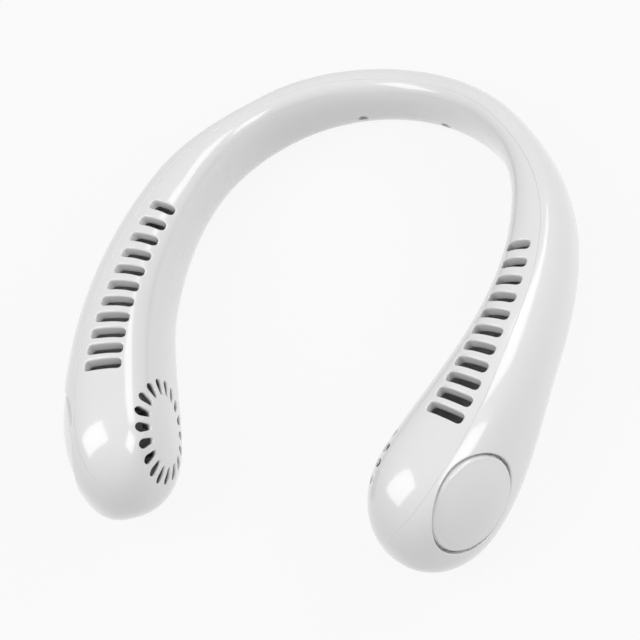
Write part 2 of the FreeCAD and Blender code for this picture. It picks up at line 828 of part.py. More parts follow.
RIGHT_MAKERS = {
    "motor_frame": motor_frame,
    "bearings": bearings,
    "stator_core": stator_core,
    "stator_coils": stator_coils,
    "rotor_cup": rotor_cup,
    "magnet_ring": magnet_ring,
    "motor_shaft": motor_shaft,
    "impeller": impeller,
    "outer_cover": outer_cover,
}
for kind, maker in RIGHT_MAKERS.items():
    piece = maker()
    home = cover_frame(1.0) if kind == "outer_cover" else fan_frame(1.0)
    piece.Placement = home.multiply(piece.Placement)
    node(piece, "right_" + kind)
    node(mirrored("left_" + kind, piece), "left_" + kind)
doc.recompute()


# Casings

HULL = band_solid(0.0)
MID_WALL = band_solid(size("wall") / 2)
CAVITY = band_solid(size("wall"))
SEAL_ROOM = band_solid(size("wall") + size("seal_gap"))
OUTER_SIDE = outer_side()


def rounded_slot(length, width, height, corner, placement):
    """Upright slot cutter with rounded corners, standing on the placement's origin."""
    corner = min(corner, length / 2, width / 2)
    x, y = length / 2 - corner, width / 2 - corner
    nook = corner / math.sqrt(2)
    edges = []
    turns = [Placement(Vector(), Rotation(UP, angle)) for angle in (0, 90, 180, 270)]
    centres = [Vector(x, y, 0), Vector(-x, y, 0), Vector(-x, -y, 0), Vector(x, -y, 0)]
    arcs = []
    for turn, centre in zip(turns, centres):
        reach = [Vector(corner, 0, 0), Vector(nook, nook, 0), Vector(0, corner, 0)]
        arcs.append([centre + turn.multVec(point) for point in reach])
    for arc, following in zip(arcs, arcs[1:] + arcs[:1]):
        edges.append(Part.Arc(*arc).toShape())
        if (following[0] - arc[-1]).Length > corner / 100:
            edges.append(Part.makeLine(arc[-1], following[0]))
    slot = Part.Face(Part.Wire(edges)).extrude(UP * height)
    slot.Placement = placement
    return slot


def outlet_slots(side):
    """Cutters for the row of slots along the top of one arm."""
    count = int(size("outlet_count"))
    place = size("outlet_place")
    cutters = []
    for index in range(count):
        share = index / (count - 1.0)
        spot = Spot(side * place)
        length = size("outlet_first_length") * (1 - share) + size("outlet_last_length") * share
        offset = (spot.parting() - spot.point).dot(spot.outward) - size("outlet_margin") - length / 2
        turn = Rotation(spot.outward, UP.cross(spot.outward), UP, "ZXY")
        base = spot.point + spot.outward * offset + UP * spot.halves(0.0)[1] / 2
        cutters.append(rounded_slot(length, size("outlet_width"), spot.halves(0.0)[1],
                                    size("outlet_corner"), Placement(base, turn)))
        gap_share = index / max(count - 2.0, 1.0)
        place += size("outlet_first_pitch") * (1 - gap_share) + size("outlet_last_pitch") * gap_share
    return cutters


def tapered_slot(inner, outer, inner_round, outer_round, height, placement):
    """Upright cutter between two distances along X, with a small round end and a larger one."""
    near, far = inner + inner_round, outer - outer_round
    sine = (outer_round - inner_round) / (far - near)
    cosine = math.sqrt(1.0 - sine ** 2)
    corners = {}
    for name, middle, radius in (("near", near, inner_round), ("far", far, outer_round)):
        corners[name] = [Vector(middle - radius * sine, hand * radius * cosine, 0) for hand in (1, -1)]
    edges = [
        Part.Arc(corners["near"][0], Vector(inner, 0, 0), corners["near"][1]).toShape(),
        Part.makeLine(corners["near"][1], corners["far"][1]),
        Part.Arc(corners["far"][1], Vector(outer, 0, 0), corners["far"][0]).toShape(),
        Part.makeLine(corners["far"][0], corners["near"][0]),
    ]
    slot = Part.Face(Part.Wire(edges)).extrude(UP * height)
    slot.Placement = placement
    return slot


def intake_slots(side):
    """Cutters for the ring of slots on the neck side of one head."""
    count = int(size("intake_count"))
    frame = Spot(side * size("fan_place")).frame(-size("head_depth"), size("fan_height"))
    depth = size("head_depth") * 0.7
    cutters = []
    for index in range(count):
        place = frame.multiply(spun(360.0 * (index + 0.5) / count))
        cutters.append(tapered_slot(size("intake_inner_radius"), size("intake_outer_radius"),
                                    size("intake_inner_width") / 2, size("intake_outer_width") / 2, depth, place))
    return cutters


def shell_screw_frame(side):
    """Seat of a casing screw's head at the nape, looking outwards."""
    spot = Spot(side * size("shell_screw_place"))
    seat = spot.face(size("shell_screw_height"), side=-1.0) + size("shell_screw_recess")
    return spot.frame(seat, size("shell_screw_height")), seat


WELL_RADIUS = size("cover_diameter") / 2 + size("well_gap")
WELL_FLOOR = -size("cover_thickness") - size("well_depth")


def moved(shape, placement):
    """Shape moved from its own axis to its place."""
    shape.Placement = placement.multiply(shape.Placement)
    return shape


def well_pot(side):
    """Solid that one head's well is sunk into."""
    low = WELL_FLOOR - size("well_wall")
    pot = Part.makeCylinder(WELL_RADIUS + size("well_wall"), size("head_depth"), Vector(0, 0, low))
    return moved(pot, cover_frame(side))


def well_cuts(side):
    """The well, the vents in its floor and the hole for the cover's stem."""
    wall = size("well_wall")
    cuts = [Part.makeCylinder(WELL_RADIUS, size("head_depth"), Vector(0, 0, WELL_FLOOR))]
    stem = size("cover_stem_diameter") / 2 + size("lens_fit")
    cuts.append(Part.makeCylinder(stem, 4 * wall, Vector(0, 0, WELL_FLOOR - 2 * wall)))
    count = int(size("well_vent_count"))
    middle = WELL_RADIUS - size("well_vent_length") / 2 - size("well_gap")
    for index in range(count):
        place = spun(360.0 * (index + 0.5) / count).multiply(
            Placement(Vector(middle, 0, WELL_FLOOR - 1.5 * wall), Rotation()))
        width = size("well_vent_width")
        cuts.append(rounded_slot(size("well_vent_length"), width, 2 * wall, width / 2, place))
    return [moved(cut, cover_frame(side)) for cut in cuts]


def motor_posts(side):
    """Posts from the well's floor to one motor frame."""
    low = size("frame_thickness")
    posts = [Part.makeCylinder(size("frame_lug_diameter") / 2, size("head_depth") / 3, point + UP * low)
             for point in bolt_points()]
    return [moved(post, fan_frame(side)) for post in posts]


def pilot(depth, placement):
    """Hole that a screw cuts its thread in, opening at the placement's origin."""
    return moved(Part.makeCylinder(size("screw_diameter") / 2, depth), placement)


def motor_pilots(side):
    """Screw holes in one motor's posts."""
    places = [fan_frame(side).multiply(Placement(point, Rotation())) for point in bolt_points()]
    return [pilot(size("motor_screw_length"), place) for place in places]


def cell_frame(side):
    """Middle of one cell, leaning with the band."""
    spot = Spot(side * size("cell_place"))
    sag = size("cell_length") ** 2 / 8 * along(CURVATURES, size("cell_place"))
    return spot.frame(-sag / 2, spot.level, -along(QUALITIES["lean"], size("cell_place")))


def cell_ribs(side):
    """Upright ribs on the outer casing that one cell lies against."""
    ribs = []
    low = size("cell_thickness") / 2 + size("cell_gap")
    width, height = size("cell_rib_width"), size("cell_rib_height")
    for share in (-0.5, 0.5):
        corner = Vector(share * size("cell_rib_spacing") - width / 2, -height / 2, low)
        ribs.append(moved(Part.makeBox(width, height, size("nape_depth"), corner), cell_frame(side)))
    return ribs


# Left arm: board, button and socket are placed from the outer wall behind the button
BUTTON_SPOT = Spot(-size("board_place"))
BUTTON_HEIGHT = BUTTON_SPOT.level + size("button_lift")
BUTTON_SKIN = BUTTON_SPOT.face(BUTTON_HEIGHT)
BUTTON_FRAME = BUTTON_SPOT.frame(0.0, BUTTON_HEIGHT)


def wall_behind(radius):
    """Least distance outwards to the inside of the wall, round a circle about the button's axis."""
    reach = []
    for angle in range(0, 360, 30):
        along_band = radius * math.cos(math.radians(angle))
        height = BUTTON_HEIGHT + radius * math.sin(math.radians(angle))
        spot = Spot(-size("board_place") + along_band)
        point = Vector(spot.point.x, spot.point.y, height) + spot.outward * spot.face(height, size("wall"))
        reach.append(BUTTON_FRAME.inverse().multVec(point).z)
    return min(reach)


FLANGE_TOP = wall_behind(size("button_diameter") / 2 + size("button_flange")) - size("button_clearance")
PLUNGER_TOP = FLANGE_TOP - size("button_flange_thickness") - size("stem_length")
BOARD_FACE = PLUNGER_TOP - size("plunger_proud") - size("switch_height")
USB_MIDDLE = BOARD_FACE + size("usb_thickness") / 2
USB_SPOT = Spot(size("usb_shift") - size("board_place"))
USB_MOUTH = USB_SPOT.underside(USB_MIDDLE) + size("usb_recess")
BOARD_LOW = USB_MOUTH + size("usb_overhang")


def left_frame(lift, sideways=0.0, height=0.0):
    """Place on the button's axis, moved along the band, up and outwards."""
    return BUTTON_FRAME.multiply(Placement(Vector(sideways, height, lift), Rotation()))


def board_screw_points():
    """Places of the board's two screws: along the band, and up from the button's axis."""
    half = size("board_screw_spacing") / 2
    return [Vector(side * half, size("board_screw_lift") - size("button_lift"), 0) for side in (-1, 1)]


def board_posts():
    """Posts from the outer wall to the board."""
    places = [left_frame(BOARD_FACE, point.x, point.y) for point in board_screw_points()]
    return [moved(Part.makeCylinder(size("board_post_diameter") / 2, size("bend_depth") / 2), place) for place in places]


def board_pilots():
    """Screw holes in the board's posts."""
    depth = size("board_screw_length") - size("board_thickness") + size("screw_clearance")
    return [pilot(depth, left_frame(BOARD_FACE, point.x, point.y)) for point in board_screw_points()]


USB_TURN = Placement(Vector(), Rotation(Vector(1, 0, 0), -90))


def usb_frame():
    """Mouth of the charging socket, with Z pointing up into the case."""
    along_band = -size("usb_shift")
    place = left_frame(USB_MIDDLE, along_band, USB_MOUTH - BUTTON_HEIGHT)
    return place.multiply(USB_TURN)


def wall_openings():
    """Openings in the outer casing for the button, the indicator and the charging socket."""
    reach = size("bend_depth")
    button = Part.makeCylinder(size("button_diameter") / 2 + size("button_clearance"), reach)
    button.Placement = left_frame(FLANGE_TOP - size("button_clearance"))
    lens = Part.makeCylinder(size("lens_diameter") / 2 + size("lens_fit"), reach)
    lens.Placement = left_frame(FLANGE_TOP - size("button_clearance"), size("lens_spacing"))
    gap = size("usb_clearance")
    width, thickness = size("usb_width") + 2 * gap, size("usb_thickness") + 2 * gap
    corner = size("usb_thickness") / 2
    turn = usb_frame().multiply(Placement(Vector(0, 0, -size("bend_rise")), Rotation()))
    socket = rounded_slot(width, thickness, size("bend_rise") + size("usb_overhang"), corner, turn)
    return [button, lens, socket]


def shell_boss(side, low, high):
    """Round boss about a casing screw, between two distances from the middle line."""
    frame, seat = shell_screw_frame(side)
    boss = Part.makeCylinder(size("shell_boss_diameter") / 2, high - low, Vector(0, 0, low - seat))
    boss.Placement = frame
    return boss


def shell_screw_cuts(side):
    """Recess and clearance hole in the neck-side casing, and the hole the screw threads into."""
    frame, seat = shell_screw_frame(side)
    reach = size("nape_depth")
    joint = size("boss_joint") - seat
    recess = Part.makeCylinder(size("screw_head_diameter") / 2 + size("screw_clearance"), reach, Vector(0, 0, -reach))
    clear = Part.makeCylinder(size("screw_diameter") / 2 + size("screw_clearance"), joint)
    thread = Part.makeCylinder(size("screw_diameter") / 2, size("shell_screw_length") - joint, Vector(0, 0, joint))
    for cutter in (recess, clear, thread):
        cutter.Placement = frame
    return [recess, clear], [thread]


def whole(right):
    """Both halves of a casing, from its right half."""
    return right.fuse(right.mirror(Vector(), Vector(1, 0, 0)))


table = Part.makeBox(2 * FAR, 2 * FAR, FAR, Vector(-FAR, -FAR, -FAR))
left_half = Part.makeBox(FAR, 2 * FAR, 2 * FAR, Vector(-FAR, -FAR, -FAR))
right_hull = HULL.cut([table, left_half])
recesses, threads = shell_screw_cuts(1.0)

inner_hollow = CAVITY.cut(shell_boss(1.0, -size("nape_depth"), size("boss_joint")))
inner_half = right_hull.cut(OUTER_SIDE).cut(inner_hollow)
inner_half = inner_half.cut(outlet_slots(1.0) + intake_slots(1.0) + recesses)
node(shape_item("inner_shell", whole(inner_half)), "inner_shell")

outer_boss = shell_boss(1.0, size("boss_joint"), size("nape_depth"))
outer_hollow = CAVITY.cut([well_pot(1.0), outer_boss] + motor_posts(1.0) + cell_ribs(1.0))
outer_half = right_hull.common(OUTER_SIDE).cut(outer_hollow)
outer_half = outer_half.cut(well_cuts(1.0) + motor_pilots(1.0) + threads)
outer_whole = whole(outer_half).fuse([post.common(MID_WALL) for post in board_posts()])
node(shape_item("outer_shell", outer_whole.cut(board_pilots() + wall_openings())), "outer_shell")


# Pieces that follow the inside of the casings

def inlet_ring():
    """Collar and flange that close the way from the intake slots to the blower wheel's mouth."""
    wall = size("inlet_wall")
    radius = size("inlet_diameter") / 2
    top = IMPELLER_TOP - size("impeller_width") - size("inlet_gap")
    reach = size("head_depth")
    collar = Part.makeCylinder(radius, reach, Vector(0, 0, top - reach))
    room = Part.makeCylinder(radius - wall, reach, Vector(0, 0, top - reach - wall))
    mouth = Part.makeCylinder(size("inlet_hole_diameter") / 2, 2 * reach, Vector(0, 0, top - reach))
    return SEAL_ROOM.common(moved(collar.cut([room, mouth]), fan_frame(1.0)))


def lead_point(distance):
    """Place of the wiring on the floor of the band."""
    inset = size("wall") + size("lead_clearance") + size("lead_diameter") / 2
    return Spot(distance).skin(-90.0, inset)


def duct_seal():
    """Foam plug across the right arm, with a notch for the wiring."""
    spot = Spot(size("seal_place"))
    thickness = size("seal_thickness")
    reach = size("head_depth")
    slab = Part.makeBox(reach, thickness, reach, Vector(-reach / 2, -thickness / 2, -reach / 2))
    turn = Rotation(spot.outward, UP.cross(spot.outward), UP, "ZXY")
    slab.Placement = Placement(spot.point, turn)
    radius = size("lead_diameter") / 2 + size("lead_clearance")
    floor = lead_point(size("seal_place"))
    notch = Part.makeCylinder(radius, 4 * thickness, floor - spot.forward * 2 * thickness, spot.forward)
    slot = Part.makeBox(2 * radius, 4 * thickness, reach, Vector(-radius, -2 * thickness, -reach))
    slot.Placement = Placement(floor, turn)
    return SEAL_ROOM.common(slab).cut([notch, slot])


for kind, maker in (("inlet_ring", inlet_ring), ("duct_seal", duct_seal)):
    piece = node(shape_item("right_" + kind, maker()), "right_" + kind)
    node(mirrored("left_" + kind, piece), "left_" + kind)


# Cells, board, button and socket

def cell():
    """Flat pouch cell with rounded long edges."""
    body = doc.addObject("PartDesign::Body", "cell")
    sketch = sketch_on(body, "cell_outline", "XY_Plane")
    drawn_outline(sketch, (("0", "0"), ("cell_length", "0"), ("cell_length", "cell_height"), ("0", "cell_height")))
    pad = body.newObject("PartDesign::Pad", "cell_pad")
    pad.Profile = sketch
    pad.setExpression("Length", bound("cell_thickness"))
    doc.recompute()
    lengthwise = ["Edge%d" % (index + 1) for index, edge in enumerate(pad.Shape.Edges)
                  if abs(edge.tangentAt(edge.FirstParameter).x) > 0.5]
    rounds = body.newObject("PartDesign::Fillet", "cell_rounds")
    rounds.Base = (pad, lengthwise)
    rounds.setExpression("Radius", bound("cell_thickness / 4"))
    body.Tip = rounds
    corner = Vector(-size("cell_length") / 2, -size("cell_height") / 2, -size("cell_thickness") / 2)
    return placed(body, cell_frame(1.0).multiply(Placement(corner, Rotation())))


right_cell = node(cell(), "right_cell")
node(mirrored("left_cell", right_cell), "left_cell")


def main_board():
    """Circuit board with its chips and the indicator's lamp."""
    height = BOARD_LOW - BUTTON_HEIGHT
    thick = size("board_thickness")
    corner = Vector(-size("board_length") / 2, height, BOARD_FACE - thick)
    plate = box("board_plate", "board_length", "board_height", "board_thickness", corner)
    chips = []
    for index, share in enumerate((-0.6, 0.0, 0.6)):
        middle = share * size("board_screw_spacing") / 2
        low = Vector(middle - size("chip_width") / 2, height + size("board_height") / 2, BOARD_FACE - thick - size("chip_height"))
        chips.append(box("chip_%d" % index, "chip_width", "chip_width", "chip_height", low))
    lamp = cylinder("board_lamp", "lens_diameter / 2", "chip_height", Vector(size("lens_spacing"), 0, BOARD_FACE))
    holes = [cylinder("board_hole_%d" % index, "screw_diameter / 2 + screw_clearance", "board_thickness",
                      Vector(point.x, point.y, BOARD_FACE - thick))
             for index, point in enumerate(board_screw_points())]
    board = without("main_board", joined("board_body", [plate, lamp] + chips), holes)
    return placed(board, BUTTON_FRAME)


def tact_switch():
    """Switch case on the board, with the bore that its plunger slides in."""
    half = size("switch_width") / 2
    case = box("switch_case", "switch_width", "switch_width", "switch_height", Vector(-half, -half, BOARD_FACE))
    top = BOARD_FACE + size("switch_height") - size("plunger_depth") - size("button_travel")
    bore = cylinder("switch_bore", "plunger_diameter / 2 + lens_fit", "plunger_depth + button_travel", Vector(0, 0, top))
    return placed(without("tact_switch", case, [bore]), BUTTON_FRAME)


def switch_plunger():
    """Plunger that the button's stem presses."""
    total = "plunger_depth + plunger_proud"
    item = turned("switch_plunger", (
        ("0", "0"), ("plunger_diameter / 2", "0"), ("plunger_diameter / 2", total), ("0", total)))
    return placed(item, left_frame(PLUNGER_TOP - worked_out(total)))


def power_button():
    """Round button, kept in by its flange behind the wall, with the stem that reaches the switch."""
    reach = BUTTON_SKIN - FLANGE_TOP
    stem, flange = "stem_length", "stem_length + button_flange_thickness"
    top = flange + " + button_proud + %.4f" % reach
    edge = "button_proud / 2"
    item = turned("power_button", (
        ("0", "0"), ("stem_diameter / 2", "0"), ("stem_diameter / 2", stem),
        ("button_diameter / 2 + button_flange", stem), ("button_diameter / 2 + button_flange", flange),
        ("button_diameter / 2", flange), ("button_diameter / 2", top + " - " + edge),
        ("button_diameter / 2 - " + edge, top), ("0", top)))
    return placed(item, left_frame(PLUNGER_TOP))


def indicator_lens():
    """Light guide from the board's lamp to the outside."""
    low = BOARD_FACE + size("chip_height") + size("lens_gap")
    spot = Spot(-size("board_place") - size("lens_spacing"))
    skin = Vector(spot.point.x, spot.point.y, BUTTON_HEIGHT) + spot.outward * spot.face(BUTTON_HEIGHT)
    length = BUTTON_FRAME.inverse().multVec(skin).z - low
    item = turned("indicator_lens", (
        ("0", "0"), ("lens_diameter / 2", "0"), ("lens_diameter / 2", "%.4f" % length), ("0", "%.4f" % length)))
    return placed(item, left_frame(low, size("lens_spacing")))


def usb_socket():
    """Steel shell of the charging socket, open downwards, with its contact tongue."""
    width, thickness, length = size("usb_width"), size("usb_thickness"), size("usb_length")
    shell_wall = size("usb_shell")
    corner = thickness / 2
    outside = rounded_slot(width, thickness, length, corner, Placement())
    hollow = rounded_slot(width - 2 * shell_wall, thickness - 2 * shell_wall, length - 2 * shell_wall,
                          corner - shell_wall, Placement())
    tongue_width, tongue = size("usb_tongue_width"), size("usb_tongue_thickness")
    low = Vector(-tongue_width / 2, -tongue / 2, 2 * shell_wall)
    blade = Part.makeBox(tongue_width, tongue, length - 3 * shell_wall, low)
    item = shape_item("usb_socket", outside.cut(hollow).fuse(blade))
    return placed(item, usb_frame())


for maker in (main_board, tact_switch, switch_plunger, power_button, indicator_lens, usb_socket):
    node(maker(), maker.__name__)


# Wiring on the floor of the band

# Share of the shorter run beside a corner that its arc takes up
CORNER_SHARE = 0.45


def rounded_path(points):
    """Straight runs through the points, joined by tangent arcs."""
    edges = []
    start = points[0]
    for before, corner, after in zip(points, points[1:], points[2:]):
        back = before - corner
        ahead = after - corner
        room = CORNER_SHARE * min(back.Length, ahead.Length)
        back.normalize()
        ahead.normalize()
        first = corner + back * room
        last = corner + ahead * room
        half_turn = back.getAngle(ahead) / 2
        bisector = back + ahead
        bisector.normalize()
        radius = room * math.tan(half_turn)
        middle = corner + bisector * (room / math.cos(half_turn) - radius)
        edges.append(Part.LineSegment(start, first).toShape())
        edges.append(Part.Arc(first, middle, last).toShape())
        start = last
    edges.append(Part.LineSegment(start, points[-1]).toShape())
    return Part.Wire(edges)


def lead(name, points):
    """Round wiring along the points."""
    path = rounded_path(points)
    radius = size("lead_diameter") / 2
    start = points[0]
    ring = Part.Wire([Part.makeCircle(radius, start, points[1] - start)])
    tube = path.makePipeShell([ring], True, False)
    expected = math.pi * radius ** 2 * path.Length
    print("%s: length %.1f mm, volume %.4f of section times length" % (name, path.Length, tube.Volume / expected))
    return shape_item(name, tube)


# Each point of a lead's rise: distance along the band from the fan, share of the way out, share of the way up
LEAD_RISE = ((-24.0, 0.5, 0.12), (-11.0, 0.9, 0.38), (-3.0, 1.0, 0.72), (0.0, 1.0, 1.12))


def motor_end(side):
    """Last points of a lead, from the floor of the arm up to the back of the motor frame."""
    back = size("motor_seat") + size("frame_thickness") + size("lead_clearance") + size("lead_diameter") / 2
    low = size("fan_height") - size("frame_disc_diameter") / 2
    rise = low - lead_point(size("fan_place")).z
    ends = []
    for place, across, share in LEAD_RISE:
        distance = size("fan_place") + place
        spot = Spot(distance)
        point = Vector(spot.point.x, spot.point.y, lead_point(size("fan_place")).z + rise * share)
        point += spot.outward * back * across
        ends.append(Vector(side * point.x, point.y, point.z))
    return ends


def floor_run(first, last):
    """Points on the band's floor at equal distances along it."""
    count = max(int(round(abs(last - first) / size("lead_step"))), 1)
    return [lead_point(first + (last - first) * index / count) for index in range(count + 1)]


floor_end = size("fan_place") - size("lead_drop")
board_back = -size("board_place") + size("board_length") / 2
board_front = -size("board_place") - size("board_length") / 2
node(lead("cross_lead", floor_run(board_back, floor_end) + motor_end(1.0)), "cross_lead")
node(lead("left_motor_lead", floor_run(board_front, -floor_end) + motor_end(-1.0)), "left_motor_lead")


# Screws

motor_screw_right = []
for index, point in enumerate(bolt_points()):
    seat = fan_frame(1.0).multiply(Placement(point, Rotation()))
    motor_screw_right.append(screw("motor_screw_%d" % index, "motor_screw_length", seat))
motor_screw_left = [mirrored(item.Name + "_left", item) for item in motor_screw_right]
node(gathered("motor_screws", motor_screw_right + motor_screw_left), "motor_screws")

board_screws = []
for index, point in enumerate(board_screw_points()):
    seat = left_frame(BOARD_FACE - size("board_thickness"), point.x, point.y)
    board_screws.append(screw("board_screw_%d" % index, "board_screw_length", seat))
node(gathered("board_screws", board_screws), "board_screws")

shell_screws = [screw("shell_screw_%d" % index, "shell_screw_length", shell_screw_frame(side)[0])
                for index, side in enumerate((1.0, -1.0))]
node(gathered("shell_screws", shell_screws), "shell_screws")

doc.recompute()


# Tests before anything is written

for item in doc.Objects:
    if "Invalid" in item.State or "Error" in item.State:
        raise RuntimeError("%s did not build: %s" % (item.Name, item.State))
for item in NODES:
    if item.Shape.isNull() or not item.Shape.isValid():
        raise RuntimeError("%s has no sound shape" % item.Label)
    if not item.Shape.Solids:
        raise RuntimeError("%s has no solid" % item.Label)

os.makedirs("parts", exist_ok=True)
for item in NODES:
    item.Shape.exportStep(os.path.join("parts", item.Label + ".step"))
    print("%-20s solids %d  volume %10.2f" % (item.Label, len(item.Shape.Solids), item.Shape.Volume))
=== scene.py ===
"""Looks of an electric neck fan: casings, covers, blower wheels, screws and finishes over the fixed frame."""

import json
import logging
import math
from dataclasses import dataclass, field
from enum import Enum
from functools import cached_property

import bmesh
import bpy
import numpy as np
from mathutils import Matrix, Vector, noise
from mathutils.geometry import delaunay_2d_cdt


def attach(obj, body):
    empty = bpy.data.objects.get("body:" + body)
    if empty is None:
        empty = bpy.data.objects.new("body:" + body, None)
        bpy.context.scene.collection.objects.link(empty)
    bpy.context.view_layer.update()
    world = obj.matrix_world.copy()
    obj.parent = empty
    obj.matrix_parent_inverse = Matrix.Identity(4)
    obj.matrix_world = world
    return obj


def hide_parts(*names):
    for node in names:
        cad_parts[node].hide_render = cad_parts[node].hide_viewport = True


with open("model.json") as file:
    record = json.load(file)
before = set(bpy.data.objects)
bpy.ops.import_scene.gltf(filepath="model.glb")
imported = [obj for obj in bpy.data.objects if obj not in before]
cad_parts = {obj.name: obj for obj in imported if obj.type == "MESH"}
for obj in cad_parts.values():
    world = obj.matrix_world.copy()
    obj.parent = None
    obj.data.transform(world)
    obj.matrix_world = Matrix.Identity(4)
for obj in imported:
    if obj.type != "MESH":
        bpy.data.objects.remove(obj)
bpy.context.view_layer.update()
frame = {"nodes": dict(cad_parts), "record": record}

log = logging.getLogger("neck_fan")
MILLI = 0.001
TINY = 1e-12
MERGE_DISTANCE = 1e-7
UP = np.array((0.0, 0.0, 1.0))
WHITE = (1.0, 1.0, 1.0, 1.0)
HANDS = {"right": 1.0, "left": -1.0}
LEAST_ARC_STEPS = 4


def linked(name: str, data: bpy.types.ID) -> bpy.types.Object:
    """Make an object of some data and link it to the scene.

    Args:
        name: Name of the object.
        data: Mesh, light or camera that it shows.

    Returns:
        The new object.
    """
    made = bpy.data.objects.new(name, data)
    bpy.context.scene.collection.objects.link(made)
    return made


def smoothed(mesh: bpy.types.Mesh, sharp_degrees: float = 180.0) -> None:
    """Shade a mesh smooth, apart from edges that turn by more than an angle."""
    mesh.polygons.foreach_set("use_smooth", np.ones(len(mesh.polygons), bool))
    mesh.set_sharp_from_angle(angle=math.radians(sharp_degrees))


def applied(carrier: bpy.types.Object, name: str) -> bpy.types.Object:
    """Turn what an object's modifiers give into a plain mesh.

    Args:
        carrier: Object with the modifiers, which is removed.
        name: Name of the new object.

    Returns:
        The new object, at the origin.
    """
    bpy.context.view_layer.update()
    graph = bpy.context.evaluated_depsgraph_get()
    mesh = bpy.data.meshes.new_from_object(carrier.evaluated_get(graph), depsgraph=graph)
    carrier.modifiers.clear()
    bpy.data.objects.remove(carrier)
    mesh.name = name
    return linked(name, mesh)


class Shell(Enum):
    """The two casings, by the CAD node that each one stands for."""

    NECK = "inner_shell"
    OUTSIDE = "outer_shell"


@dataclass(frozen=True)
class Pose:
    """A place with right-handed directions: side and rise lie across it, out looks away from the material."""

    base: np.ndarray
    side: np.ndarray
    rise: np.ndarray
    out: np.ndarray

    def points(self, flat: np.ndarray, lift: float | np.ndarray = 0.0) -> np.ndarray:
        """Put rows of two coordinates, along side and rise, in space at a lift along out."""
        lifts = np.broadcast_to(lift, len(flat))[:, None]
        return self.base + flat[:, :1] * self.side + flat[:, 1:2] * self.rise + lifts * self.out

    def moved(self, along_side: float = 0.0, along_rise: float = 0.0, lift: float = 0.0) -> "Pose":
        """Same directions at another base."""
        base = self.base + along_side * self.side + along_rise * self.rise + lift * self.out
        return Pose(base, self.side, self.rise, self.out)

    def spun(self, angle: float) -> "Pose":
        """Turn the pose about its out.

        Args:
            angle: Angle in degrees.

        Returns:
            The turned pose, at the same base.
        """
        cosine, sine = math.cos(math.radians(angle)), math.sin(math.radians(angle))
        side = cosine * self.side + sine * self.rise
        return Pose(self.base, side, np.cross(self.out, side), self.out)

    def flipped(self) -> "Pose":
        """Same base and side, looking the other way."""
        return Pose(self.base, self.side, -self.rise, -self.out)

    def matrix(self) -> Matrix:
        """The pose as a matrix in metres."""
        columns = np.stack((self.side, self.rise, self.out, self.base * MILLI), axis=1)
        return Matrix([list(row) for row in columns] + [[0.0, 0.0, 0.0, 1.0]])


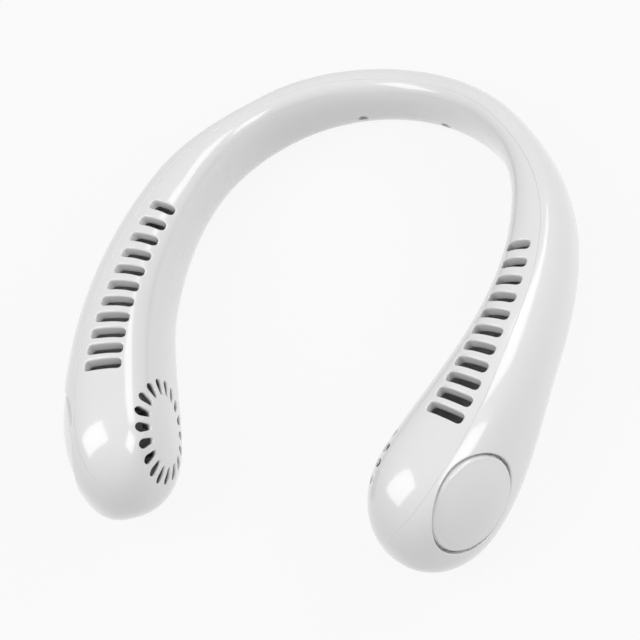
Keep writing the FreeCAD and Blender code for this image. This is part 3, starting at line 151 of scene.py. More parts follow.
@dataclass(frozen=True)
class Band:
    """Middle line and rounded section of the horseshoe, in millimetres.

    Distances run along the middle line from the nape, and are negative on the left arm. The five values of a
    quality belong to the nape, the shoulder, the bend, the arm and the head.
    """

    length: float = 250.0
    tip_length: float = 31.5
    tip_roundness: float = 2.15
    tip_lift: float = 4.0
    rest_flat: float = 0.4
    wall: float = 1.6
    shift: float = 98.388
    step: float = 0.5
    end_margin: float = 0.001
    search_stride: int = 8
    search_rounds: int = 5
    skin_halvings: int = 36
    parting_halvings: int = 40
    parting_fade: int = 4
    places: tuple[float, ...] = (0.0, 55.0, 107.5, 160.0, 217.5)
    radius: tuple[float, ...] = (71.5, 76.0, 112.0, 230.0, 290.0)
    depth: tuple[float, ...] = (16.2, 15.8, 24.0, 31.6, 41.6)
    crown: tuple[float, ...] = (14.5, 17.2, 17.2, 21.6, 32.0)
    belly: tuple[float, ...] = (14.8, 16.4, 19.2, 22.2, 27.2)
    rise: tuple[float, ...] = (0.0, 1.7, 8.1, 10.3, 0.0)
    lean: tuple[float, ...] = (6.7, 6.6, 4.2, 1.5, 3.0)
    squareness: tuple[float, ...] = (2.42, 2.42, 2.42, 2.4, 2.55)
    parting: tuple[float, ...] = (-2.9, -3.0, 1.2, 4.4, 8.6)
    parting_slant: tuple[float, ...] = (0.0, 0.0, 0.0, 0.4, 1.0)

    @property
    def tip_start(self) -> float:
        """Distance at which the rounding of the tip begins."""
        return self.length - self.tip_length

    @property
    def travel_end(self) -> float:
        """Travel at the very tip."""
        return self.tip_start + self.tip_length * math.pi / 2

    def along(self, values: tuple[float, ...], distance: np.ndarray) -> np.ndarray:
        """Blend a quality smoothly between its stations.

        Args:
            values: The quality at the five stations.
            distance: Distances along the middle line.

        Returns:
            The quality at each distance.
        """
        places, levels = np.array(self.places), np.array(values)
        rates = np.diff(levels) / np.diff(places)
        before, after = rates[:-1], rates[1:]
        same_way = before * after > 0
        total = np.where(same_way, before + after, 1.0)
        slopes = np.zeros(len(places))
        slopes[1:-1] = np.where(same_way, 2.0 * before * after / total, 0.0)
        spot = np.clip(np.abs(distance), places[0], places[-1])
        index = np.clip(np.searchsorted(places, spot, side="right") - 1, 0, len(places) - 2)
        span = places[index + 1] - places[index]
        part = (spot - places[index]) / span
        rest = 1.0 - part
        ends = levels[index] * (1 + 2 * part) * rest**2 + levels[index + 1] * (3 - 2 * part) * part**2
        bends = slopes[index] * part * rest**2 - slopes[index + 1] * part**2 * rest
        return ends + span * bends

    @cached_property
    def line(self) -> np.ndarray:
        """Trace the right half of the middle line.

        Returns:
            Rows of x, y and heading.
        """
        middles = (np.arange(int(self.length / self.step) + 1) + 0.5) * self.step
        turns = self.along(tuple(1.0 / radius for radius in self.radius), middles) * self.step
        heading = np.concatenate(([0.0], np.cumsum(turns)))
        half_way = heading[:-1] + turns / 2
        x = np.concatenate(([0.0], np.cumsum(self.step * np.cos(half_way))))
        y = np.concatenate(([0.0], np.cumsum(-self.step * np.sin(half_way)))) + self.shift
        return np.stack((x, y, heading), axis=1)

    def middle(self, distance: np.ndarray) -> tuple[np.ndarray, np.ndarray, np.ndarray]:
        """Follow the right half's middle line.

        Args:
            distance: Distances along it, of either arm.

        Returns:
            The x, y and heading at each distance.
        """
        steps = np.clip(np.abs(distance) / self.step, 0.0, len(self.line) - 1 - self.end_margin)
        index = steps.astype(int)
        share = (steps - index)[..., None]
        found = self.line[index] * (1 - share) + self.line[index + 1] * share
        return found[..., 0], found[..., 1], found[..., 2]

    def past_tip(self, distance: np.ndarray, inset: float = 0.0) -> np.ndarray:
        """Share of the tip's rounding that lies behind, from 0 to 1."""
        return np.clip((np.abs(distance) - self.tip_start) / (self.tip_length - inset), 0.0, 1.0)

    def level(self, distance: np.ndarray) -> np.ndarray:
        """Height of the section's widest level over the table."""
        lift = self.tip_lift * self.past_tip(distance) ** 2
        return self.along(self.rise, distance) + self.along(self.belly, distance) + lift - self.rest_flat

    def halves(self, distance: np.ndarray, inset: float) -> tuple[np.ndarray, np.ndarray, np.ndarray]:
        """Measure the section from its middle.

        Args:
            distance: Distances along the middle line.
            inset: Depth below the outer skin.

        Returns:
            Half depth, crown and belly at each distance.
        """
        power = self.tip_roundness
        taper = (1.0 - self.past_tip(distance, inset) ** power) ** (1.0 / power)
        half_depth = self.along(self.depth, distance) / 2 - inset
        crown = self.along(self.crown, distance) - inset
        belly = self.along(self.belly, distance) - inset
        return taper * half_depth, taper * crown, taper * belly

    def slope(self, distance: np.ndarray) -> np.ndarray:
        """Sideways shift of the section for each millimetre of climb."""
        return np.tan(np.radians(self.along(self.lean, distance)))

    def section(self, distance: np.ndarray, angle: np.ndarray, inset: float) -> tuple[np.ndarray, np.ndarray]:
        """Point of the section's outline.

        Args:
            distance: Distances along the middle line.
            angle: Angles in degrees, where 0 is outwards and 90 is up.
            inset: Depth below the outer skin.

        Returns:
            How far outwards and how far above the widest level each point lies.
        """
        half_depth, crown, belly = self.halves(distance, inset)
        power = self.along(self.squareness, distance)
        cosine, sine = np.cos(np.radians(angle)), np.sin(np.radians(angle))
        reach = (np.abs(cosine) ** power + np.abs(sine) ** power) ** (-1.0 / power)
        climb = reach * sine * np.where(sine > 0, crown, belly)
        return reach * cosine * half_depth - climb * self.slope(distance), climb

    def place(self, distance: np.ndarray, across: np.ndarray, climb: np.ndarray) -> np.ndarray:
        """Put points in space.

        Args:
            distance: Distances along the middle line.
            across: Reach outwards from the middle line.
            climb: Height above the section's widest level.

        Returns:
            The points' three coordinates along the last axis.
        """
        x, y, heading = self.middle(distance)
        hand = np.where(distance < 0, -1.0, 1.0)
        height = self.level(distance) + climb
        sideways = hand * (x + across * np.sin(heading))
        return np.stack((sideways, y + across * np.cos(heading), height), axis=-1)

    def skin(self, distance: np.ndarray, angle: np.ndarray, inset: float = 0.0) -> np.ndarray:
        """Points of the skin, moved inwards by inset."""
        across, climb = self.section(distance, angle, inset)
        return self.place(distance, across, climb)

    def locate(self, points: np.ndarray) -> tuple[np.ndarray, np.ndarray, np.ndarray]:
        """Find points on the band.

        Args:
            points: Rows of three coordinates.

        Returns:
            Distance along the middle line, reach outwards and climb of each point.
        """
        hand = np.where(points[:, 0] < 0, -1.0, 1.0)
        flat_x, flat_y = np.abs(points[:, 0]), points[:, 1]
        coarse = self.line[:: self.search_stride]
        gaps = (flat_x[:, None] - coarse[:, 0]) ** 2 + (flat_y[:, None] - coarse[:, 1]) ** 2
        distance = np.argmin(gaps, axis=1) * self.search_stride * self.step
        for _ in range(self.search_rounds):
            x, y, heading = self.middle(distance)
            ahead = (flat_x - x) * np.cos(heading) - (flat_y - y) * np.sin(heading)
            distance = np.clip(distance + ahead, 0.0, self.length)
        x, y, heading = self.middle(distance)
        across = (flat_x - x) * np.sin(heading) + (flat_y - y) * np.cos(heading)
        return hand * distance, across, points[:, 2] - self.level(distance)

    def shares(self, points: np.ndarray, inset: float) -> tuple[np.ndarray, np.ndarray, np.ndarray]:
        """Place points in a section scaled to reach 1 each way.

        Args:
            points: Rows of three coordinates.
            inset: Depth of the section's skin below the outer one.

        Returns:
            Distance along the band, and the share of the section's reach outwards and upwards.
        """
        distance, across, climb = self.locate(points)
        half_depth, crown, belly = self.halves(distance, inset)
        wide = (across + climb * self.slope(distance)) / np.maximum(half_depth, MILLI)
        tall = climb / np.maximum(np.where(climb > 0, crown, belly), MILLI)
        return distance, wide, tall

    def hit(self, starts: np.ndarray, out: np.ndarray, inset: float, reach: float = 60.0) -> np.ndarray:
        """Follow a direction from points inside the band to the skin.

        Args:
            starts: Rows of points inside.
            out: Direction to follow.
            inset: Depth of the skin below the outer one.
            reach: Longest way to the outside.

        Returns:
            The points where the skin is met.
        """
        low, high = np.zeros(len(starts)), np.full(len(starts), reach)
        for _ in range(self.skin_halvings):
            middle = (low + high) / 2
            distance, wide, tall = self.shares(starts + middle[:, None] * out, inset)
            power = self.along(self.squareness, distance)
            outside = np.abs(wide) ** power + np.abs(tall) ** power > 1.0
            high = np.where(outside, middle, high)
            low = np.where(outside, low, middle)
        return starts + high[:, None] * out

    def address(self, points: np.ndarray, inset: float) -> tuple[np.ndarray, np.ndarray]:
        """Distance along the band and section angle of points on the skin."""
        distance, wide, tall = self.shares(points, inset)
        return distance, np.degrees(np.arctan2(tall, wide))

    def parting_angle(self, distance: np.ndarray, inset: float, hand: float) -> np.ndarray:
        """Find the parting line.

        Args:
            distance: Distances along the middle line.
            inset: Depth below the outer skin.
            hand: 1 for the line above, -1 for the one below.

        Returns:
            The line's section angle at each distance.
        """
        reach = self.along(self.parting, distance) - inset * self.along(self.parting_slant, distance)
        wanted = reach * (1.0 - self.past_tip(distance, inset) ** self.parting_fade)
        low, high = np.zeros(len(distance)), np.full(len(distance), 180.0)
        for _ in range(self.parting_halvings):
            middle = (low + high) / 2
            beyond = self.section(distance, hand * middle, inset)[0] > wanted
            low = np.where(beyond, middle, low)
            high = np.where(beyond, high, middle)
        return hand * low

    def travel(self, distance: np.ndarray, inset: float) -> np.ndarray:
        """Way along the skin's length, which also runs evenly round the tips."""
        turn = np.arcsin(self.past_tip(distance, inset) ** (self.tip_roundness / 2))
        return np.sign(distance) * (np.minimum(np.abs(distance), self.tip_start) + self.tip_length * turn)

    def distance_at(self, travel: np.ndarray, inset: float) -> np.ndarray:
        """Find the distance along the middle line for a travel.

        Args:
            travel: Ways along the skin's length.
            inset: Depth of the skin below the outer one.

        Returns:
            The distance for each travel.
        """
        turn = np.clip((np.abs(travel) - self.tip_start) / self.tip_length, 0.0, math.pi / 2)
        past = np.sin(turn) ** (2.0 / self.tip_roundness)
        straight = np.minimum(np.abs(travel), self.tip_start)
        return np.sign(travel) * (straight + (self.tip_length - inset) * past)

    def pose(self, distance: float, across: float, height: float, tilt: float = 0.0,
             yaw: float = 0.0) -> Pose:
        """Pose that looks outwards from a place in the band.

        Args:
            distance: Distance along the middle line.
            across: Reach outwards from the middle line.
            height: Height over the table.
            tilt: Turn upwards in degrees.
            yaw: Turn towards the tip in degrees.

        Returns:
            The pose, with its side along the band and its rise upwards.
        """
        x, y, heading = (float(value) for value in self.middle(np.array(distance)))
        hand = -1.0 if distance < 0 else 1.0
        forward = np.array((hand * math.cos(heading), -math.sin(heading), 0.0))
        outward = np.array((hand * math.sin(heading), math.cos(heading), 0.0))
        swing = outward * math.cos(math.radians(yaw)) + forward * math.sin(math.radians(yaw))
        out = swing * math.cos(math.radians(tilt)) + UP * math.sin(math.radians(tilt))
        side = np.cross(UP, out)
        side /= np.linalg.norm(side)
        base = np.array((hand * x, y, height)) + outward * across
        return Pose(base, side, np.cross(out, side), out)


BAND = Band()


def rounded_outline(length: float, width: float, corner: float, growth: float, spacing: float) -> np.ndarray:
    """Outline of a slot with rounded corners, anticlockwise.

    Args:
        length: Size along the first coordinate.
        width: Size along the second coordinate.
        corner: Radius of the corners.
        growth: How far the outline is moved outwards.
        spacing: Distance between points on the ungrown outline.

    Returns:
        Rows of two coordinates, always as many for the same slot.
    """
    corner = min(corner, length / 2, width / 2)
    x, y = length / 2 - corner, width / 2 - corner
    arc_steps = max(LEAST_ARC_STEPS, round(corner * math.pi / 2 / spacing))
    runs = (2 * x, 2 * y, 2 * x, 2 * y)
    centres = ((x, y), (-x, y), (-x, -y), (x, -y))
    points = []
    for index, (centre_x, centre_y) in enumerate(centres):
        angles = np.radians(90.0 * index) + np.linspace(0.0, math.pi / 2, arc_steps + 1)
        reach = corner + growth
        points += [(centre_x + reach * math.cos(turn), centre_y + reach * math.sin(turn)) for turn in angles]
        run = runs[index]
        along_run = np.array((-math.sin(angles[-1]), math.cos(angles[-1])))
        start = np.array(points[-1])
        count = max(1, round(run / spacing)) if run > spacing / 2 else 0
        if count == 0:
            points.pop()
        points += [tuple(start + along_run * run * step / count) for step in range(1, count)]
    return np.array(points)


def circle(radius: float, count: int) -> np.ndarray:
    """Points of a circle, anticlockwise."""
    turns = np.arange(count) * 2 * math.pi / count
    return radius * np.stack((np.cos(turns), np.sin(turns)), axis=1)


def encloses(loop: np.ndarray, points: np.ndarray) -> np.ndarray:
    """Tell which flat points lie inside a closed loop.

    Args:
        loop: Rows of the loop's two coordinates.
        points: Rows of two coordinates.

    Returns:
        True for each point inside.
    """
    found = np.zeros(len(points), bool)
    near = np.flatnonzero(((points >= loop.min(axis=0)) & (points <= loop.max(axis=0))).all(axis=1))
    x, y = points[near, 0][:, None], points[near, 1][:, None]
    start, end = loop, np.roll(loop, -1, axis=0)
    rises = (start[:, 1] > y) != (end[:, 1] > y)
    run = np.where(np.abs(end[:, 1] - start[:, 1]) < TINY, 1.0, end[:, 1] - start[:, 1])
    crossing = start[:, 0] + (y - start[:, 1]) / run * (end[:, 0] - start[:, 0])
    found[near] = (rises & (x < crossing)).sum(axis=1) % 2 == 1
    return found


@dataclass
class MeshBuilder:
    """Collects points, faces and known normals of one piece, in millimetres."""

    points: list[np.ndarray] = field(default_factory=list)
    normals: list[np.ndarray] = field(default_factory=list)
    faces: list[tuple[int, ...]] = field(default_factory=list)
    count: int = 0

    def add(self, points: np.ndarray, normals: np.ndarray | None = None) -> np.ndarray:
        """Add points.

        Args:
            points: Rows of three coordinates.
            normals: Known normals, or None where they follow from the faces.

        Returns:
            The indices of the new points.
        """
        indices = np.arange(self.count, self.count + len(points))
        self.points.append(np.asarray(points, float))
        self.normals.append(np.zeros((len(points), 3)) if normals is None else normals)
        self.count += len(points)
        return indices

    def face(self, *indices: int) -> None:
        """Add a face, leaving out corners that repeat."""
        corners = [int(corner) for corner in dict.fromkeys(indices)]
        if len(corners) > 2:
            self.faces.append(tuple(corners))

    def strip(self, first: np.ndarray, second: np.ndarray, closed: bool = True, flip: bool = False) -> None:
        """Join two rows of points by four-sided faces.

        Args:
            first: Indices of the row that the faces start from.
            second: Indices of the other row.
            closed: Whether the rows are rings.
            flip: Whether the faces look the other way.
        """
        total = len(first)
        for index in range(total if closed else total - 1):
            after = (index + 1) % total
            corners = (first[index], first[after], second[after], second[index])
            self.face(*(reversed(corners) if flip else corners))

    def chain(self, rows: list[np.ndarray], closed: bool = True, flip: bool = False) -> None:
        """Join rows of points, given by their indices, one after the other."""
        for first, second in zip(rows, rows[1:]):
            self.strip(first, second, closed, flip)

    def turned(self, profile: list[tuple[float, float]], pose: Pose, count: int) -> None:
        """Add a solid turned about a pose's axis.

        Args:
            profile: Radius and lift of each corner, from the bottom of the axis round to its top, or back to
                the first corner for a ring.
            pose: Pose whose out is the axis.
            count: Number of sides.
        """
        rings = []
        for radius, lift in profile:
            if rings and (radius, lift) == profile[0]:
                rings.append(rings[0])
            elif radius < TINY:
                rings.append(np.full(count, self.add(pose.points(np.zeros((1, 2)), lift))[0]))
            else:
                rings.append(self.add(pose.points(circle(radius, count), lift)))
        self.chain(rings)

    def object(self, name: str, sharp_degrees: float = 35.0) -> bpy.types.Object:
        """Make the piece's object.

        Args:
            name: Name of the object.
            sharp_degrees: Edges that turn by more than this stay sharp.

        Returns:
            The new object, at the origin and in metres.
        """
        mesh = bpy.data.meshes.new(name)
        mesh.from_pydata((np.concatenate(self.points) * MILLI).tolist(), [], self.faces)
        smoothed(mesh, sharp_degrees)
        known = np.concatenate(self.normals)
        if known.any():
            corners = np.zeros(len(mesh.loops), int)
            mesh.loops.foreach_get("vertex_index", corners)
            mesh.normals_split_custom_set([tuple(normal) for normal in known[corners]])
        mesh.update()
        return linked(name, mesh)


def triangles_between(points: np.ndarray, edges: list[tuple[int, int]]) -> list[tuple[int, int, int]]:
    """Cut a flat domain into triangles that keep given edges.

    Args:
        points: Rows of two coordinates.
        edges: Pairs of indices that stay edges.

    Returns:
        Corner indices of each triangle, over the whole convex outline.
    """
    flat = [Vector((float(x), float(y))) for x, y in points]
    found = delaunay_2d_cdt(flat, edges, [], 0, MERGE_DISTANCE)
    origins = found[3]
    triangles = []
    for face in found[2]:
        corners = [origins[corner][0] if origins[corner] else -1 for corner in face]
        if len(corners) == 3 and -1 not in corners:
            triangles.append(tuple(corners))
    return triangles


def loop_edges(start: int, count: int) -> list[tuple[int, int]]:
    """Edges of a closed loop of points that follow each other."""
    return [(start + index, start + (index + 1) % count) for index in range(count)]


def split_loops(indices: np.ndarray, start: int, loops: list[np.ndarray]) -> list[np.ndarray]:
    """Share out indices to loops whose points follow each other from a start."""
    ends = start + np.cumsum([len(loop) for loop in loops])
    return [indices[end - len(loop) : end] for loop, end in zip(loops, ends)]


@dataclass
class SkinSheet:
    """One skin of one casing: triangles between the two parting lines, with loops left open as holes."""

    shell: Shell
    inset: float
    border: float
    grid: float = 1.7
    row_step: float = 1.7
    border_share: float = 0.2
    border_clearance: float = 0.4
    loop_clearance: float = 0.45
    girth_samples: int = 41
    behind_start: float = 60.0
    angle_step: float = 0.5
    normal_step: float = 0.05

    @cached_property
    def rows(self) -> np.ndarray:
        """Travels of the rows of grid points, from one tip to the other."""
        half = round(BAND.travel_end / self.row_step)
        return np.linspace(-BAND.travel_end, BAND.travel_end, 2 * half + 1)

    @cached_property
    def parting(self) -> tuple[np.ndarray, np.ndarray]:
        """Find the parting lines at each row.

        Returns:
            Section angles where the sheet starts and where it ends.
        """
        distance = BAND.distance_at(self.rows, self.inset)
        distance[0], distance[-1] = distance[1], distance[-2]
        above = BAND.parting_angle(distance, self.inset, 1.0)
        below = BAND.parting_angle(distance, self.inset, -1.0)
        return (above, below + 360.0) if self.shell is Shell.NECK else (below, above)

    @cached_property
    def limits(self) -> tuple[np.ndarray, np.ndarray, np.ndarray]:
        """Keep the sheet back from the parting lines.

        Returns:
            Start angle, end angle and girth of the sheet at each row.
        """
        start, end = self.parting
        distance = BAND.distance_at(self.rows, self.inset)
        full = self.girth(distance, start, end)
        back = np.minimum(self.border, self.border_share * full)
        start_speed = self.chord(distance, start, start + self.angle_step) / self.angle_step
        end_speed = self.chord(distance, end - self.angle_step, end) / self.angle_step
        start = start + back / np.maximum(start_speed, MILLI)
        end = end - back / np.maximum(end_speed, MILLI)
        return start, end, self.girth(distance, start, end)

    def chord(self, distance: np.ndarray, first: np.ndarray, last: np.ndarray) -> np.ndarray:
        """Straight way between two angles of each section."""
        gap = BAND.skin(distance, last, self.inset) - BAND.skin(distance, first, self.inset)
        return np.linalg.norm(gap, axis=-1)

    def girth(self, distance: np.ndarray, start: np.ndarray, end: np.ndarray) -> np.ndarray:
        """Measure the outline between two angles of each section.

        Args:
            distance: Distances along the middle line.
            start: First angle of each section.
            end: Last angle of each section.

        Returns:
            The outlines' lengths.
        """
        shares = np.linspace(0.0, 1.0, self.girth_samples)
        angles = start[:, None] + (end - start)[:, None] * shares
        outline = BAND.skin(np.repeat(distance[:, None], len(shares), axis=1), angles, self.inset)
        return np.linalg.norm(np.diff(outline, axis=1), axis=2).sum(axis=1)

    def flatten(self, distance: np.ndarray, angle: np.ndarray) -> np.ndarray:
        """Lay skin points out flat.

        Args:
            distance: Distances along the middle line.
            angle: Section angles.

        Returns:
            Rows of travel and of the way round from the sheet's middle.
        """
        travel = BAND.travel(distance, self.inset)
        start, end, girth = (np.interp(travel, self.rows, values) for values in self.limits)
        turn = np.mod(angle - start + self.behind_start, 360.0) - self.behind_start
        return np.stack((travel, (turn / (end - start) - 0.5) * girth), axis=1)

    def shade(self, distance: np.ndarray, angle: np.ndarray) -> np.ndarray:
        """Work out the skin's normals from its own formula.

        Args:
            distance: Distances along the middle line.
            angle: Section angles.

        Returns:
            Rows of outward normals.
        """
        travel = BAND.travel(distance, self.inset)
        step = self.normal_step
        ahead = BAND.skin(BAND.distance_at(travel + step, self.inset), angle, self.inset)
        behind = BAND.skin(BAND.distance_at(travel - step, self.inset), angle, self.inset)
        onwards = BAND.skin(distance, angle + step, self.inset)
        round_it = onwards - BAND.skin(distance, angle - step, self.inset)
        normal = np.cross(ahead - behind, round_it)
        length = np.linalg.norm(normal, axis=1, keepdims=True)
        normal = normal / np.maximum(length, TINY)
        middle = BAND.place(distance, np.zeros(len(distance)), np.zeros(len(distance)))
        outwards = ((BAND.skin(distance, angle, self.inset) - middle) * normal).sum(axis=1)
        return normal * np.where(outwards < 0, -1.0, 1.0)[:, None]

    def grid_points(self) -> tuple[np.ndarray, np.ndarray, np.ndarray]:
        """Lay points over the whole sheet: the near border, the far one between the tips, then the grid.

        Returns:
            Flat place, distance along the band and section angle of each point.
        """
        start, end, girth = self.limits
        last = len(self.rows) - 1
        spots = [(row, 0.0) for row in range(last + 1)] + [(row, 1.0) for row in range(1, last)]
        for row in range(1, last):
            count = max(2, round(girth[row] / self.grid))
            offset = 0.5 if row % 2 else 0.0
            shares = (np.arange(1, count) + offset) / count
            spots += [(row, share) for share in shares if share < 1.0 - self.border_clearance / count]
        row = np.array([spot[0] for spot in spots])
        share = np.array([spot[1] for spot in spots])
        way_round = np.where((row > 0) & (row < last), (share - 0.5) * girth[row], 0.0)
        distance = BAND.distance_at(self.rows, self.inset)[row]
        angle = start[row] + share * (end[row] - start[row])
        return np.stack((self.rows[row], way_round), axis=1), distance, angle

    def build(self, builder: MeshBuilder,
              loops: list[np.ndarray]) -> tuple[list[np.ndarray], list[np.ndarray]]:
        """Add the sheet to a piece.

        Args:
            builder: The piece.
            loops: Points of each hole's edge, on this skin.

        Returns:
            Indices of the two borders from tip to tip, and of each loop.
        """
        last = len(self.rows) - 1
        far = [0, *range(last + 1, 2 * last), last]
        edges = [(row, row + 1) for row in range(last)] + list(zip(far, far[1:]))
        flat, spots, angles = self.grid_points()
        addresses = [BAND.address(loop, self.inset) for loop in loops]
        flat_loops = [self.flatten(*address) for address in addresses]
        # Grid points in a hole or too near its edge make way for the edge's own points.
        keep = np.ones(len(flat), bool)
        for loop in flat_loops:
            low, high = loop.min(axis=0) - self.grid, loop.max(axis=0) + self.grid
            near = np.flatnonzero(((flat > low) & (flat < high)).all(axis=1))
            near = near[near >= 2 * last]
            gaps = np.linalg.norm(flat[near][:, None] - loop[None], axis=2).min(axis=1)
            keep[near] &= (gaps > self.loop_clearance * self.grid) & ~encloses(loop, flat[near])
        flat, spots, angles = flat[keep], spots[keep], angles[keep]
        places = BAND.skin(spots, angles, self.inset)
        grid_count = len(flat)
        for loop, loop_flat, (loop_spots, loop_angles) in zip(loops, flat_loops, addresses):
            edges += loop_edges(len(flat), len(loop))
            flat, places = np.concatenate((flat, loop_flat)), np.concatenate((places, loop))
            spots, angles = np.concatenate((spots, loop_spots)), np.concatenate((angles, loop_angles))
        # The triangles fill a convex outline, so those past the borders and in the holes are dropped.
        girth = self.limits[2]
        triangles = np.array(triangles_between(flat, edges))
        centres = flat[triangles].mean(axis=1)
        inside = np.abs(centres[:, 1]) < np.interp(centres[:, 0], self.rows, np.r_[0.0, girth[1:-1], 0.0]) / 2
        for loop in flat_loops:
            inside &= ~encloses(loop, centres)
        triangles = triangles[inside]
        # The tips and the points laid flat on the table take their normals from the faces.
        normals = self.shade(spots, angles)
        normals[[0, last]] = 0.0
        guides = normals[triangles].sum(axis=1)
        normals[places[:, 2] < 0.0] = 0.0
        places[:, 2] = np.maximum(places[:, 2], 0.0)
        hand = 1.0 if self.inset == 0.0 else -1.0
        corners = places[triangles]
        facing = np.cross(corners[:, 1] - corners[:, 0], corners[:, 2] - corners[:, 0])
        turned = (facing * guides).sum(axis=1) * hand < 0
        triangles[turned] = triangles[turned][:, ::-1]
        indices = builder.add(places, normals * hand)
        for corner_indices in indices[triangles]:
            builder.face(*corner_indices)
        return [indices[: last + 1], indices[far]], split_loops(indices, grid_count, loops)


@dataclass(frozen=True)
class RoundedOutline:
    """Outline of a straight slot with rounded corners, or of a circle."""

    length: float
    width: float
    corner: float
    spacing: float = 0.7

    def points(self, growth: float) -> np.ndarray:
        """Points of the outline, moved outwards by growth."""
        return rounded_outline(self.length, self.width, self.corner, growth, self.spacing)


def round_hole(radius: float, spacing: float = 0.7) -> RoundedOutline:
    """Outline of a round hole."""
    return RoundedOutline(2 * radius, 2 * radius, radius, spacing)


@dataclass(frozen=True)
class TaperedOutline:
    """Outline of a slot with a small round end near the axis and a larger one away from it."""

    near: float
    far: float
    near_round: float
    far_round: float
    arc_steps: int = 9
    side_steps: int = 5

    def points(self, growth: float) -> np.ndarray:
        """Find the points of the outline.

        Args:
            growth: How far the outline is moved outwards.

        Returns:
            Rows of two coordinates.
        """
        near_middle, far_middle = self.near + self.near_round, self.far - self.far_round
        touch = math.pi / 2 + math.asin((self.far_round - self.near_round) / (far_middle - near_middle))
        ends = []
        for middle, radius, start, end in ((far_middle, self.far_round, -touch, touch),
                                           (near_middle, self.near_round, touch, 2 * math.pi - touch)):
            turns = np.linspace(start, end, self.arc_steps + 1)
            reach = radius + growth
            ends.append(np.stack((middle + reach * np.cos(turns), reach * np.sin(turns)), axis=1))
        sides = []
        for first, last in ((ends[0][-1], ends[1][0]), (ends[1][-1], ends[0][0])):
            shares = np.linspace(0.0, 1.0, self.side_steps + 1)[1:-1, None]
            sides.append(first + shares * (last - first))
        return np.concatenate((ends[0], sides[0], ends[1], sides[1]))


@dataclass(frozen=True)
class Opening:
    """Hole through a casing's wall: a flat outline cut along a pose's out, with a rounded lip."""

    pose: Pose
    outline: RoundedOutline | TaperedOutline
    lip: float
    lip_steps: int = 5
    collar: float = 0.0
    collar_wall: float = 0.7

    def ring(self, growth: float, inset: float) -> np.ndarray:
        """Ring on a skin where the outline, grown by a distance, is cut outwards from the pose."""
        return BAND.hit(self.pose.points(self.outline.points(growth)), self.pose.out, inset)

    def rings(self, inner_growth: float = 0.0) -> list[np.ndarray]:
        """Rings from the outer skin down the wall.

        Args:
            inner_growth: How much wider the hole in the inner skin is, where the opening has no collar.

        Returns:
            The lip's rings, those of the collar inside the wall, and last the ring on the inner skin.
        """
        found = []
        for angle in np.linspace(0.0, math.pi / 2, self.lip_steps):
            growth = self.lip * (1.0 - math.sin(angle))
            found.append(self.ring(growth, 0.0) - self.pose.out * self.lip * (1.0 - math.cos(angle)))
        if self.collar > 0.0:
            inner_growth = self.collar_wall
            for growth in (0.0, inner_growth):
                found.append(self.ring(growth, BAND.wall) - self.pose.out * self.collar)
        found.append(self.ring(inner_growth, BAND.wall))
        return found


@dataclass(frozen=True)
class Outlets:
    """Row of air slots along the top of each arm."""

    count: int = 11
    first_place: float = 124.8
    first_pitch: float = 8.8
    last_pitch: float = 6.85
    first_length: float = 9.0
    last_length: float = 14.0
    width: float = 4.2
    corner: float = 1.5
    margin: float = 3.2
    lip: float = 0.85
    collar: float = 3.4
    cut_start: float = 1.0

    def openings(self) -> list[Opening]:
        """Lay out the slots of both arms.

        Returns:
            The slots, the right arm's first.
        """
        found = []
        for hand in HANDS.values():
            place = self.first_place
            for index in range(self.count):
                share = index / (self.count - 1)
                length = self.first_length * (1 - share) + self.last_length * share
                spot = np.array(place)
                offset = float(BAND.along(BAND.parting, spot)) - self.margin - length / 2
                outwards = BAND.pose(hand * place, offset, float(BAND.level(spot)) + self.cut_start)
                pose = Pose(outwards.base, outwards.out, np.cross(UP, outwards.out), UP)
                outline = RoundedOutline(length, self.width, self.corner)
                found.append(Opening(pose, outline, self.lip, collar=self.collar))
                gap_share = index / (self.count - 2)
                place += self.first_pitch * (1 - gap_share) + self.last_pitch * gap_share
        return found


@dataclass(frozen=True)
class Intakes:
    """Ring of air slots on the neck side of each head."""

    place: float = 222.8
    height: float = 35.2
    count: int = 18
    outer_radius: float = 19.5
    inner_radius: float = 13.4
    outer_width: float = 3.6
    inner_width: float = 2.3
    lip: float = 0.45

    def openings(self) -> list[Opening]:
        """Lay out the slots of both heads.

        Returns:
            The slots, the right head's first.
        """
        ends = (self.inner_width / 2, self.outer_width / 2)
        petal = TaperedOutline(self.inner_radius, self.outer_radius, *ends)
        found = []
        for hand in HANDS.values():
            axis = BAND.pose(hand * self.place, 0.0, self.height)
            for index in range(self.count):
                pose = axis.spun(360.0 * (index + 0.5) / self.count).flipped()
                found.append(Opening(pose, petal, self.lip))
        return found


